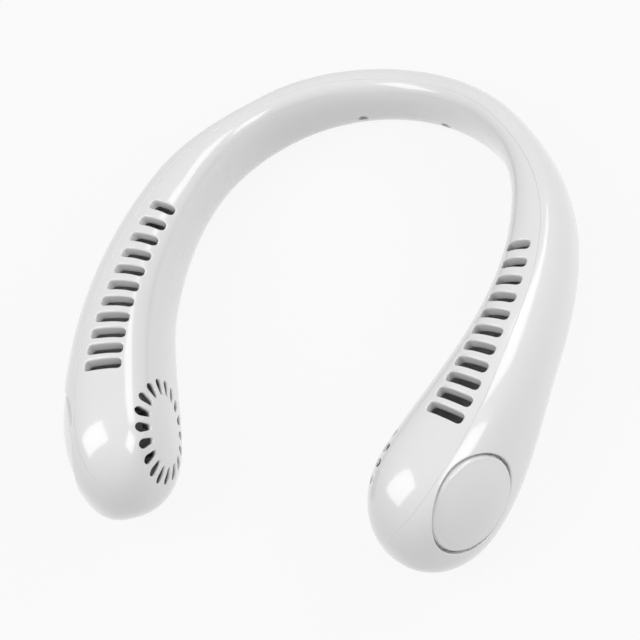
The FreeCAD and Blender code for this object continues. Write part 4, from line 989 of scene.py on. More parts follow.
@dataclass(frozen=True)
class CoverSeat:
    """Pose and sizes of the round cover on the outside of each head, and of the well that it sits in."""

    place: float = 221.6
    reach: float = 15.8
    height: float = 37.0
    tilt: float = 15.0
    yaw: float = 8.0
    radius: float = 18.2
    thickness: float = 2.0
    edge: float = 1.35
    foot_radius: float = 6.0
    stem_radius: float = 2.5
    stem_length: float = 2.0
    gap: float = 0.9
    depth: float = 1.0
    wall: float = 0.5
    lip: float = 0.7
    vents: int = 12
    vent_length: float = 6.5
    vent_width: float = 3.0
    vent_spacing: float = 0.9
    stem_play: float = 0.05
    stem_sides: int = 24
    cut_start: float = 12.0
    rim_spacing: float = 1.0
    rim_steps: int = 7

    @property
    def well_radius(self) -> float:
        """Radius of the well."""
        return self.radius + self.gap

    @property
    def floor(self) -> float:
        """Height of the well's floor, from the cover's face."""
        return -self.thickness - self.depth

    def pose(self, hand: float) -> Pose:
        """Pose of one cover's face."""
        return BAND.pose(hand * self.place, self.reach, self.height, self.tilt, self.yaw)

    def rings(self, hand: float) -> list[np.ndarray]:
        """Find the edge of one well.

        Args:
            hand: 1 for the right head and -1 for the left one.

        Returns:
            Its rings from the outer skin to the inner one.
        """
        start = self.pose(hand).moved(lift=-self.cut_start)
        outline = round_hole(self.well_radius, self.rim_spacing)
        return Opening(start, outline, self.lip, lip_steps=self.rim_steps).rings(self.wall)

    def build(self, builder: MeshBuilder, hand: float, outer: np.ndarray, inner: np.ndarray,
              lips: list[np.ndarray]) -> None:
        """Sink one cover's well into the casing.

        Args:
            builder: The piece.
            hand: 1 for the right head and -1 for the left one.
            outer: Indices of the well's ring on the outer skin.
            inner: Indices of the well's ring on the inner skin.
            lips: Points of the lip's other rings.
        """
        pose = self.pose(hand)
        outside = self.well_radius + self.wall
        low = self.floor - self.wall
        floor_edge = builder.add(pose.points(circle(self.well_radius, len(outer)), self.floor))
        builder.chain([outer] + [builder.add(ring) for ring in lips] + [floor_edge])
        pot_edge = builder.add(pose.points(circle(outside, len(outer)), low))
        builder.strip(pot_edge, inner)
        upper = self.floor_plate(builder, pose, self.floor, floor_edge, self.well_radius, True)
        lower = self.floor_plate(builder, pose, low, pot_edge, outside, False)
        for first, second in zip(upper, lower):
            builder.strip(first, second)

    def floor_plate(self, builder: MeshBuilder, pose: Pose, lift: float, ring: np.ndarray, radius: float,
                    looks_out: bool) -> list[np.ndarray]:
        """Add one face of the well's pierced floor.

        Args:
            builder: The piece.
            pose: Pose of the cover.
            lift: Height of the face.
            ring: Indices of the points round its edge.
            radius: Radius of its edge.
            looks_out: Whether the face looks along the pose's out.

        Returns:
            Indices of the edges of the vents and of the stem's hole.
        """
        middle = self.well_radius - self.vent_length / 2 - self.gap
        vent = rounded_outline(self.vent_length, self.vent_width, self.vent_width / 2, 0.0, self.vent_spacing)
        loops = [circle(self.stem_radius + self.stem_play, self.stem_sides)]
        for index in range(self.vents):
            turn = 2 * math.pi * (index + 0.5) / self.vents
            spin = np.array(((math.cos(turn), math.sin(turn)), (-math.sin(turn), math.cos(turn))))
            loops.append((vent + (middle, 0.0)) @ spin)
        flat = circle(radius, len(ring))
        edges = loop_edges(0, len(ring))
        for loop in loops:
            edges += loop_edges(len(flat), len(loop))
            flat = np.concatenate((flat, loop))
        triangles = np.array(triangles_between(flat, edges))
        centres = flat[triangles].mean(axis=1)
        inside = np.ones(len(triangles), bool)
        for loop in loops:
            inside &= ~encloses(loop, centres)
        indices = np.concatenate((ring, builder.add(pose.points(flat[len(ring):], lift))))
        for triangle in triangles[inside]:
            first, second, third = flat[triangle]
            left = np.cross(np.append(second - first, 0.0), np.append(third - first, 0.0))[2] > 0
            corners = indices[triangle]
            builder.face(*(corners if left == looks_out else corners[::-1]))
        return split_loops(indices, len(ring), loops)


@dataclass(frozen=True)
class ShellScrews:
    """Seats of the two casing screws at the nape."""

    place: float = 20.0
    height: float = 8.6
    recess: float = 3.4
    recess_radius: float = 1.95
    hole_radius: float = 1.1
    boss_radius: float = 2.8
    boss_joint: float = -1.0
    lip: float = 0.35
    length: float = 8.0
    spacing: float = 0.4

    def seat(self, hand: float) -> tuple[Pose, float]:
        """Find where a screw's head sits.

        Args:
            hand: 1 for the right screw and -1 for the left one.

        Returns:
            Pose of the seat, looking out of the recess, and its reach from the middle line.
        """
        inside = BAND.pose(hand * self.place, 0.0, self.height).flipped()
        skin = BAND.hit(inside.base[None], inside.out, 0.0)[0]
        reach = float(np.linalg.norm(skin - inside.base)) - self.recess
        return inside.moved(lift=reach), reach

    def rings(self, hand: float) -> list[np.ndarray]:
        """Find the edge of one recess.

        Args:
            hand: 1 for the right screw and -1 for the left one.

        Returns:
            Its rings from the outer skin to the boss on the inner one.
        """
        pose, reach = self.seat(hand)
        hole = Opening(pose.moved(lift=-reach), round_hole(self.recess_radius, self.spacing), self.lip)
        return hole.rings(self.boss_radius - self.recess_radius)

    def build(self, builder: MeshBuilder, hand: float, outer: np.ndarray, inner: np.ndarray,
              lips: list[np.ndarray]) -> None:
        """Join the recess, its floor, the screw's hole and the boss between the two skins.

        Args:
            builder: The piece.
            hand: 1 for the right screw and -1 for the left one.
            outer: Indices of the ring on the outer skin.
            inner: Indices of the ring on the inner skin.
            lips: Points of the lip's other rings.
        """
        pose, reach = self.seat(hand)
        chain = [outer] + [builder.add(ring) for ring in lips]
        boss_end = -(reach + self.boss_joint)
        for radius, lift in ((self.recess_radius, 0.0), (self.hole_radius, 0.0), (self.hole_radius, boss_end),
                             (self.boss_radius, boss_end)):
            chain.append(builder.add(pose.points(circle(radius, len(outer)), lift)))
        builder.chain(chain + [inner])


@dataclass(frozen=True)
class Controls:
    """Places of the button, the indicator and the charging socket on the left arm."""

    place: float = -98.0
    height: float = 26.479
    board_face: float = 2.082
    button_radius: float = 4.5
    button_gap: float = 0.3
    lens_radius: float = 1.25
    lens_place: float = 9.0
    lens_spacing: float = 0.35
    socket_shift: float = 7.0
    socket_cut_start: float = 6.0
    socket_width: float = 8.94
    socket_thickness: float = 3.26
    socket_gap: float = 0.2
    socket_spacing: float = 0.5
    hole_lip: float = 0.25
    board_thickness: float = 1.2
    board_screw_spacing: float = 12.5
    board_screw_rise: float = 4.0
    board_screw_length: float = 4.4

    def axis(self) -> Pose:
        """Axis of the button, from the middle line outwards."""
        return BAND.pose(self.place, 0.0, self.height)

    def board_seats(self) -> list[Pose]:
        """Place the board's screws.

        Returns:
            Poses on the board's neck side, looking outwards.
        """
        lift = self.board_face - self.board_thickness
        middle = self.axis().moved(along_rise=self.board_screw_rise, lift=lift)
        return [middle.moved(along_side=hand * self.board_screw_spacing) for hand in HANDS.values()]

    def openings(self) -> list[Opening]:
        """Place the controls' holes in the outside casing.

        Returns:
            The holes for the button, the indicator and the socket.
        """
        axis = self.axis()
        button = round_hole(self.button_radius + self.button_gap)
        lens = round_hole(self.lens_radius, self.lens_spacing)
        play = 2 * self.socket_gap
        mouth = RoundedOutline(self.socket_width + play, self.socket_thickness + play,
                               self.socket_thickness / 2, self.socket_spacing)
        lift = self.board_face + self.socket_thickness / 2
        base = axis.moved(-self.socket_shift, -self.socket_cut_start, lift)
        down = Pose(base.base, base.side, base.out, -UP)
        lens_axis = axis.moved(along_side=self.lens_place)
        return [Opening(axis, button, self.hole_lip), Opening(lens_axis, lens, self.hole_lip / 2),
                Opening(down, mouth, self.hole_lip)]


@dataclass
class Casings:
    """The neck-side and the outside casing, with their slots, wells, recesses and rounded parting edges."""

    outlets: Outlets = field(default_factory=Outlets)
    intakes: Intakes = field(default_factory=Intakes)
    cover_seat: CoverSeat = field(default_factory=CoverSeat)
    shell_screws: ShellScrews = field(default_factory=ShellScrews)
    controls: Controls = field(default_factory=Controls)
    blower: "Blower" = field(default_factory=lambda: Blower())
    edge_round: float = 0.22
    edge_angles: tuple[float, ...] = (30.0, 60.0, 90.0)
    inner_grid: float = 2.4
    post_radius: float = 2.7
    post_sides: int = 20
    motor_post_length: float = 5.0
    board_post_probes: int = 12

    def joint_edges(self, builder: MeshBuilder, outer: SkinSheet, outer_borders: list[np.ndarray],
                    inner_borders: list[np.ndarray]) -> None:
        """Round the edges at the parting lines and close the faces where the casings meet.

        Args:
            builder: The piece.
            outer: The outer skin.
            outer_borders: Indices of the outer skin's borders.
            inner_borders: Indices of the inner skin's borders.
        """
        distance = BAND.distance_at(outer.rows, 0.0)
        for which, (parting, limit) in enumerate(zip(outer.parting, outer.limits)):
            above = (which == 0) == (outer.shell is Shell.NECK)
            down = -UP if above else UP
            corner = BAND.skin(distance, parting)
            back = BAND.skin(distance, limit) - corner
            reach = np.linalg.norm(back, axis=1, keepdims=True)
            border = outer_borders[which]
            chain = [border]
            for angle in np.radians(self.edge_angles):
                ring = corner + back * (1 - math.sin(angle)) + down * reach * (1 - math.cos(angle))
                ring[:, 2] = np.maximum(ring[:, 2], 0.0)
                chain.append(np.r_[border[0], builder.add(ring[1:-1]), border[-1]])
            builder.chain(chain + [inner_borders[which]], closed=False, flip=which == 1)

    def walls(self, builder: MeshBuilder, shell: Shell, through: list[list[np.ndarray]],
              sunk: list[list[np.ndarray]]) -> list[tuple[np.ndarray, np.ndarray]]:
        """Add both skins of a casing, the openings through them and the parting edges.

        Args:
            builder: The piece.
            shell: Which casing it is.
            through: Rings of each plain opening.
            sunk: Rings of each recess, whose inside is added elsewhere.

        Returns:
            Indices of each recess's rings on the outer and the inner skin.
        """
        outer = SkinSheet(shell, 0.0, self.edge_round)
        inner = SkinSheet(shell, BAND.wall, 0.0, grid=self.inner_grid)
        borders, holes = outer.build(builder, [rings[0] for rings in through + sunk])
        inner_borders, inner_holes = inner.build(builder, [rings[-1] for rings in through + sunk])
        for rings, first, last in zip(through, holes, inner_holes):
            builder.chain([first] + [builder.add(ring) for ring in rings[1:-1]] + [last])
        self.joint_edges(builder, outer, borders, inner_borders)
        return list(zip(holes, inner_holes))[len(through):]

    def neck_side(self) -> bpy.types.Object:
        """Build the neck-side casing with its outlets, intake rings and screw recesses.

        Returns:
            The casing.
        """
        builder = MeshBuilder()
        through = [opening.rings() for opening in self.outlets.openings() + self.intakes.openings()]
        recesses = [self.shell_screws.rings(hand) for hand in HANDS.values()]
        ends = self.walls(builder, Shell.NECK, through, recesses)
        for hand, rings, (outer, inner) in zip(HANDS.values(), recesses, ends):
            self.shell_screws.build(builder, hand, outer, inner, rings[1:-1])
        return builder.object("neck_casing")

    def outside(self) -> bpy.types.Object:
        """Build the outside casing with its cover wells, control openings and posts.

        Returns:
            The casing.
        """
        builder = MeshBuilder()
        through = [opening.rings() for opening in self.controls.openings()]
        wells = [self.cover_seat.rings(hand) for hand in HANDS.values()]
        ends = self.walls(builder, Shell.OUTSIDE, through, wells)
        for hand, rings, (outer, inner) in zip(HANDS.values(), wells, ends):
            self.cover_seat.build(builder, hand, outer, inner, rings[1:-1])
            for bolt in self.blower.bolts(hand):
                self.post(builder, bolt.moved(lift=self.blower.frame_thickness), self.motor_post_length)
        for seat in self.controls.board_seats():
            foot = seat.moved(lift=self.controls.board_thickness)
            rim = foot.points(circle(self.post_radius, self.board_post_probes))
            ways = np.linalg.norm(BAND.hit(rim, foot.out, BAND.wall / 2) - rim, axis=1)
            self.post(builder, foot, float(ways.min()))
        return builder.object("outside_casing")

    def post(self, builder: MeshBuilder, foot: Pose, length: float) -> None:
        """Add one hollow screw post.

        Args:
            builder: The piece.
            foot: Pose that the post stands on.
            length: Length of the post.
        """
        hole, edge = ScrewSet.shank_radius, self.post_radius
        corners = [(hole, 0.0), (edge, 0.0), (edge, length), (hole, length), (hole, 0.0)]
        builder.turned(corners, foot, self.post_sides)


@dataclass
class Covers:
    """Round covers on the outside of the heads."""

    seat: CoverSeat = field(default_factory=CoverSeat)
    sides: int = 128
    proud: float = 0.8
    dome: float = 2.8
    chamfer: float = 0.2
    edge_steps: int = 8
    dome_steps: int = 14
    dome_start: float = 0.94

    def profile(self) -> list[tuple[float, float]]:
        """Draw the half section of a cover.

        Returns:
            Radius and lift of each corner, from the end of the stem round to the middle of the face.
        """
        seat = self.seat
        low = seat.floor - seat.stem_length
        back = -seat.thickness
        corners = [(0.0, low), (seat.stem_radius, low), (seat.stem_radius, seat.floor),
                   (seat.foot_radius, seat.floor), (seat.foot_radius, back),
                   (seat.radius - self.chamfer, back), (seat.radius, back + self.chamfer)]
        crown = seat.radius - seat.edge
        for angle in np.radians(np.linspace(0.0, 90.0, self.edge_steps)):
            height = self.proud - seat.edge * (1.0 - math.sin(angle))
            corners.append((crown + seat.edge * math.cos(angle), height))
        for share in np.linspace(self.dome_start, 0.0, self.dome_steps):
            corners.append((crown * share, self.proud + self.dome * (1.0 - share**2)))
        return corners

    def build(self, side: str) -> bpy.types.Object:
        """Build one cover.

        Args:
            side: Head that it is on, right or left.

        Returns:
            The cover.
        """
        builder = MeshBuilder()
        builder.turned(self.profile(), self.seat.pose(HANDS[side]), self.sides)
        return builder.object(side + "_cover")


def socket_of(tree: bpy.types.NodeTree, name: str, kind: str, incoming: bool = True,
              value: object = None) -> bpy.types.NodeTreeInterfaceSocket:
    """Add a named socket to a tree.

    Args:
        tree: The tree.
        name: Name of the socket.
        kind: Socket type.
        incoming: Whether it is an input.
        value: Default value, if any.

    Returns:
        The new socket.
    """
    socket = tree.interface.new_socket(name, in_out="INPUT" if incoming else "OUTPUT", socket_type=kind)
    if value is not None:
        socket.default_value = value
    return socket


class NodeTreeMaker:
    """Short ways of adding nodes and links to one tree."""

    def __init__(self, tree: bpy.types.NodeTree) -> None:
        """Work on a tree."""
        self.tree = tree

    def node(self, kind: str, inputs: dict[object, object] | None = None,
             **settings: object) -> bpy.types.Node:
        """Add a node.

        Args:
            kind: Node type.
            inputs: For each input, by name or index, a value or the output socket that feeds it.
            settings: Properties of the node.

        Returns:
            The new node.
        """
        made = self.tree.nodes.new(kind)
        for key, value in settings.items():
            setattr(made, key, value)
        for key, value in (inputs or {}).items():
            if isinstance(value, bpy.types.NodeSocket):
                self.tree.links.new(value, made.inputs[key])
            else:
                made.inputs[key].default_value = value
        return made

    def math(self, operation: str, first: object, second: object) -> bpy.types.NodeSocket:
        """Add a sum, product or other operation on two values or sockets and give its output."""
        return self.node("ShaderNodeMath", {0: first, 1: second}, operation=operation).outputs[0]

    def vector(self, **parts: object) -> bpy.types.NodeSocket:
        """Add a vector of X, Y and Z values or sockets and give its output."""
        return self.node("ShaderNodeCombineXYZ", parts).outputs[0]


class ShapeTree(NodeTreeMaker):
    """A Geometry Nodes tree with named inputs, turned into a plain mesh object."""

    def __init__(self, name: str) -> None:
        """Start an empty tree with a geometry input and output.

        Args:
            name: Name of the tree.
        """
        super().__init__(bpy.data.node_groups.new(name, "GeometryNodeTree"))
        socket_of(self.tree, "Geometry", "NodeSocketGeometry")
        socket_of(self.tree, "Geometry", "NodeSocketGeometry", incoming=False)
        self.values: dict[str, object] = {}
        self.start: bpy.types.Node | None = None

    def size(self, name: str, value: object, kind: str = "NodeSocketFloat") -> None:
        """Declare a named input with its value."""
        socket = socket_of(self.tree, name, kind)
        self.values[socket.identifier] = value

    def given(self, name: str) -> bpy.types.NodeSocket:
        """Find a named input's socket, on a group input node made when it is first needed.

        Args:
            name: Name of the input.

        Returns:
            The socket that gives its value.
        """
        if self.start is None:
            self.start = self.node("NodeGroupInput")
        return self.start.outputs[name]

    def scaled(self, name: str, factor: float) -> bpy.types.NodeSocket:
        """A named input times a factor."""
        return self.math("MULTIPLY", self.given(name), factor)

    def cone(self, sides: int, low: bpy.types.NodeSocket, high: bpy.types.NodeSocket,
             height: bpy.types.NodeSocket) -> bpy.types.NodeSocket:
        """Add a cone on the origin, with its radius at the bottom and the top, and give its mesh."""
        sizes = {"Vertices": sides, "Radius Bottom": low, "Radius Top": high, "Depth": height}
        return self.node("GeometryNodeMeshCone", sizes).outputs["Mesh"]

    def raised(self, mesh: bpy.types.NodeSocket, height: bpy.types.NodeSocket) -> bpy.types.NodeSocket:
        """Move a mesh upwards by a height."""
        places = {"Geometry": mesh, "Translation": self.vector(Z=height)}
        return self.node("GeometryNodeTransform", places).outputs[0]

    def boolean(self, operation: str, others: list[bpy.types.NodeSocket],
                base: bpy.types.NodeSocket | None = None) -> bpy.types.NodeSocket:
        """Join meshes, or cut some from a base.

        Args:
            operation: The node's operation.
            others: The meshes that are joined or cut away.
            base: The mesh that is cut, if any.

        Returns:
            The result's socket.
        """
        inputs = {} if base is None else {"Mesh 1": base}
        made = self.node("GeometryNodeMeshBoolean", inputs, operation=operation)
        for other in others:
            self.tree.links.new(other, made.inputs["Mesh 2"])
        return made.outputs["Mesh"]

    def finish(self, geometry: bpy.types.NodeSocket, material: bpy.types.Material) -> None:
        """End the tree with realized instances and a material.

        Args:
            geometry: Socket of the finished shape.
            material: Finish of the shape.
        """
        real = self.node("GeometryNodeRealizeInstances", {0: geometry})
        done = self.node("GeometryNodeSetMaterial", {"Geometry": real.outputs[0], "Material": material})
        self.node("NodeGroupOutput", {0: done.outputs[0]})

    def bake(self, name: str, start: bpy.types.Mesh, sharp_degrees: float) -> bpy.types.Object:
        """Turn the tree's result into a plain mesh.

        Args:
            name: Name of the new object.
            start: Mesh that the tree works on.
            sharp_degrees: Edges that turn by more than this stay sharp.

        Returns:
            The new object, at the origin.
        """
        carrier = linked(name + "_carrier", start)
        modifier = carrier.modifiers.new("shape", "NODES")
        modifier.node_group = self.tree
        for identifier, value in self.values.items():
            modifier[identifier] = value
        piece = applied(carrier, name)
        smoothed(piece.data, sharp_degrees)
        return piece


def point_mesh(name: str, poses: list[Pose]) -> bpy.types.Mesh:
    """Make a mesh of loose points, each carrying the direction that its pose looks in.

    Args:
        name: Name of the mesh.
        poses: Where the points are.

    Returns:
        The new mesh.
    """
    mesh = bpy.data.meshes.new(name)
    mesh.from_pydata([tuple(pose.base * MILLI) for pose in poses], [], [])
    looks = mesh.attributes.new("looks", "FLOAT_VECTOR", "POINT")
    looks.data.foreach_set("vector", np.array([pose.out for pose in poses], np.float32).ravel())
    return mesh


@dataclass(frozen=True)
class ScrewSet:
    """Screws with domed, cross-recessed heads, set by a Geometry Nodes tree."""

    shank_radius: float = 0.95
    head_radius: float = 1.8
    head_height: float = 1.3
    recess_width: float = 0.55
    recess_reach: float = 2.2
    recess_depth: float = 0.7
    rim_share: float = 0.55
    crown_share: float = 0.72
    point_share: float = 0.6
    head_sides: int = 36
    shank_sides: int = 20
    sharp_degrees: float = 30.0

    def build(self, name: str, poses: list[Pose], length: float,
              material: bpy.types.Material) -> bpy.types.Object:
        """Set one kind of screw.

        Args:
            name: Name of the piece.
            poses: Seat of each head, looking out of it.
            length: Length below the head.
            material: Finish of the screws.

        Returns:
            All the screws as one object.
        """
        tree = ShapeTree(name + "_tree")
        for label, value in (("Shank Radius", self.shank_radius), ("Head Radius", self.head_radius),
                             ("Head Height", self.head_height), ("Length", length),
                             ("Recess Width", self.recess_width), ("Recess Reach", self.recess_reach),
                             ("Recess Depth", self.recess_depth)):
            tree.size(label, value * MILLI)
        head_radius, shank_radius = tree.given("Head Radius"), tree.given("Shank Radius")
        rim_height = tree.scaled("Head Height", self.rim_share)
        rim = tree.cone(self.head_sides, head_radius, head_radius, rim_height)
        dome = tree.cone(self.head_sides, head_radius, tree.scaled("Head Radius", self.crown_share),
                         tree.scaled("Head Height", 1.0 - self.rim_share))
        shank = tree.cone(self.shank_sides, tree.scaled("Shank Radius", self.point_share), shank_radius,
                          tree.given("Length"))
        lowered = tree.raised(shank, tree.scaled("Length", -1.0))
        solid = tree.boolean("UNION", [rim, tree.raised(dome, rim_height), lowered])
        reach, width = tree.given("Recess Reach"), tree.given("Recess Width")
        # Each arm of the cross is a bar centred on the head's top, so half its height cuts.
        arms = []
        for along, across in ((reach, width), (width, reach)):
            extent = tree.vector(X=along, Y=across, Z=tree.scaled("Recess Depth", 2.0))
            arm = tree.node("GeometryNodeMeshCube", {"Size": extent})
            arms.append(tree.raised(arm.outputs["Mesh"], tree.given("Head Height")))
        screw = tree.boolean("DIFFERENCE", arms, solid)
        looks = tree.node("GeometryNodeInputNamedAttribute", {"Name": "looks"}, data_type="FLOAT_VECTOR")
        turn = tree.node("FunctionNodeAlignRotationToVector", {"Vector": looks.outputs[0]}, axis="Z")
        placed = tree.node("GeometryNodeInstanceOnPoints", {
            "Points": tree.given("Geometry"), "Instance": screw, "Rotation": turn.outputs[0]})
        tree.finish(placed.outputs[0], material)
        return tree.bake(name, point_mesh(name + "_seats", poses), self.sharp_degrees)


@dataclass(frozen=True)
class Blower:
    """Blower wheel of one head: a turned hub with its rims, and a ring of curved blades."""

    seat: float = 4.0
    place: float = 222.8
    height: float = 35.2
    radius: float = 17.0
    width: float = 11.0
    top: float = -1.8
    web: float = 1.0
    rim: float = 1.2
    rim_round: float = 0.2
    rim_sides: int = 96
    hub_radius: float = 9.72
    hub_wall: float = 1.2
    hub_height: float = 10.2
    hub_round: float = 0.5
    hub_sides: int = 72
    bore: float = 1.02
    blades: int = 22
    blade_thickness: float = 0.8
    blade_inner: float = 13.3
    blade_bend: float = 5.0
    blade_middle_bend: float = 0.22
    blade_end_bend: float = 0.4
    blade_play: float = 0.4
    blade_steps: int = 6
    sharp_degrees: float = 40.0
    bolt_radius: float = 13.0
    bolt_count: int = 3
    bolt_start: float = 90.0
    bolt_length: float = 3.8
    frame_thickness: float = 1.5

    def axis(self, hand: float) -> Pose:
        """Fan axis of one head, with the motor's seat at lift 0."""
        return BAND.pose(hand * self.place, self.seat, self.height)

    def bolts(self, hand: float) -> list[Pose]:
        """Place the motor frame's screws.

        Args:
            hand: 1 for the right head and -1 for the left one.

        Returns:
            Poses on the frame's neck side, looking outwards.
        """
        turns = np.radians(self.bolt_start + 360.0 * np.arange(self.bolt_count) / self.bolt_count)
        places = self.bolt_radius * np.stack((np.cos(turns), np.sin(turns)), axis=1)
        return [self.axis(hand).moved(float(side), float(rise)) for side, rise in places]

    def wheel(self, name: str, hand: float) -> bpy.types.Object:
        """Build the hub, the web and the two rims.

        Args:
            name: Name of the piece.
            hand: 1 for the right head and -1 for the left one.

        Returns:
            The wheel without its blades.
        """
        builder = MeshBuilder()
        pose = self.axis(hand)
        outer = self.hub_radius + self.hub_wall
        web_middle = self.top - self.width / 2
        web_low, web_high = web_middle - self.web / 2, web_middle + self.web / 2
        floor = self.top - self.hub_height
        floor_top = floor + self.hub_wall
        builder.turned([
            (self.bore, floor), (outer - self.hub_round, floor), (outer, floor + self.hub_round),
            (outer, web_low), (self.radius, web_low), (self.radius, web_high), (outer, web_high),
            (outer, self.top), (self.hub_radius, self.top), (self.hub_radius, floor_top),
            (self.bore, floor_top), (self.bore, floor)], pose, self.hub_sides)
        inside, cut = self.radius - self.rim, self.rim_round
        for low in (self.top - self.width, self.top - self.web):
            high = low + self.web
            builder.turned([
                (inside, low), (self.radius - cut, low), (self.radius, low + cut), (self.radius, high - cut),
                (self.radius - cut, high), (inside, high), (inside, low)], pose, self.rim_sides)
        return builder.object(name)

    def blade_ring(self, name: str, hand: float, material: bpy.types.Material) -> bpy.types.Object:
        """Build the ring of curved blades.

        Args:
            name: Name of the piece.
            hand: 1 for the right head and -1 for the left one.
            material: Finish of the blades.

        Returns:
            The blades as one object.
        """
        tree = ShapeTree(name + "_tree")
        tree.size("Blades", self.blades, "NodeSocketInt")
        for label, value in (("Thickness", self.blade_thickness), ("Width", self.width - self.blade_play),
                             ("Inner", self.blade_inner), ("Outer", self.radius - self.rim / 2),
                             ("Bend", self.blade_bend * hand)):
            tree.size(label, value * MILLI)
        half_way = tree.math("MULTIPLY", tree.math("ADD", tree.given("Inner"), tree.given("Outer")), 0.5)
        middle = tree.vector(X=half_way, Y=tree.scaled("Bend", self.blade_middle_bend))
        outer = tree.vector(X=tree.given("Outer"), Y=tree.scaled("Bend", self.blade_end_bend))
        bow = tree.node("GeometryNodeCurveQuadraticBezier", {
            "Resolution": self.blade_steps, "Start": tree.vector(X=tree.given("Inner")), "Middle": middle,
            "End": outer})
        outline = tree.node("GeometryNodeCurvePrimitiveQuadrilateral", {
            "Width": tree.given("Thickness"), "Height": tree.given("Width")})
        blade = tree.node("GeometryNodeCurveToMesh", {
            "Curve": bow.outputs[0], "Profile Curve": outline.outputs[0], "Fill Caps": True})
        count = tree.given("Blades")
        centres = tree.node("GeometryNodeMeshLine", {"Count": count, "Offset": (0.0, 0.0, 0.0)})
        share = tree.math("DIVIDE", tree.node("GeometryNodeInputIndex").outputs[0], count)
        spin = tree.vector(Z=tree.math("MULTIPLY", share, 2 * math.pi))
        ring = tree.node("GeometryNodeInstanceOnPoints", {
            "Points": centres.outputs[0], "Instance": blade.outputs[0], "Rotation": spin})
        tree.finish(ring.outputs[0], material)
        piece = tree.bake(name, bpy.data.meshes.new(name + "_start"), self.sharp_degrees)
        piece.data.transform(self.axis(hand).moved(lift=self.top - self.width / 2).matrix())
        return piece


@dataclass(frozen=True)
class SoftSeal:
    """Foam seal of one arm's air duct: the solid's space with rounded edges and a skin of small cells."""

    voxel: float = 0.55
    smoothing: int = 6
    smooth_factor: float = 0.5
    weld: float = 0.01
    relief: float = 0.22
    cell_size: float = 0.9
    fill: float = 0.5

    def build(self, name: str, node: bpy.types.Object) -> bpy.types.Object:
        """Form one seal.

        Args:
            name: Name of the piece.
            node: CAD node whose space the seal takes.

        Returns:
            The seal as a new object.
        """
        form = bmesh.new()
        form.from_mesh(node.data)
        bmesh.ops.remove_doubles(form, verts=form.verts, dist=self.weld * MILLI)
        start = bpy.data.meshes.new(name + "_start")
        form.to_mesh(start)
        form.free()
        carrier = linked(name + "_carrier", start)
        remesh = carrier.modifiers.new("even", "REMESH")
        remesh.mode = "VOXEL"
        remesh.voxel_size = self.voxel * MILLI
        smooth = carrier.modifiers.new("rounded", "SMOOTH")
        smooth.factor = self.smooth_factor
        smooth.iterations = self.smoothing
        piece = applied(carrier, name)
        for vertex in piece.data.vertices:
            depth = 0.5 + 0.5 * noise.noise(vertex.co / (self.cell_size * MILLI))
            vertex.co -= vertex.normal * depth * self.relief * MILLI
        smoothed(piece.data)
        return piece


class Grain(Enum):
    """Kinds of fine surface detail, each made by one shader group."""

    MOULDED = "moulded"
    DRAWN = "drawn"
    WOUND = "wound"
    CELLED = "celled"


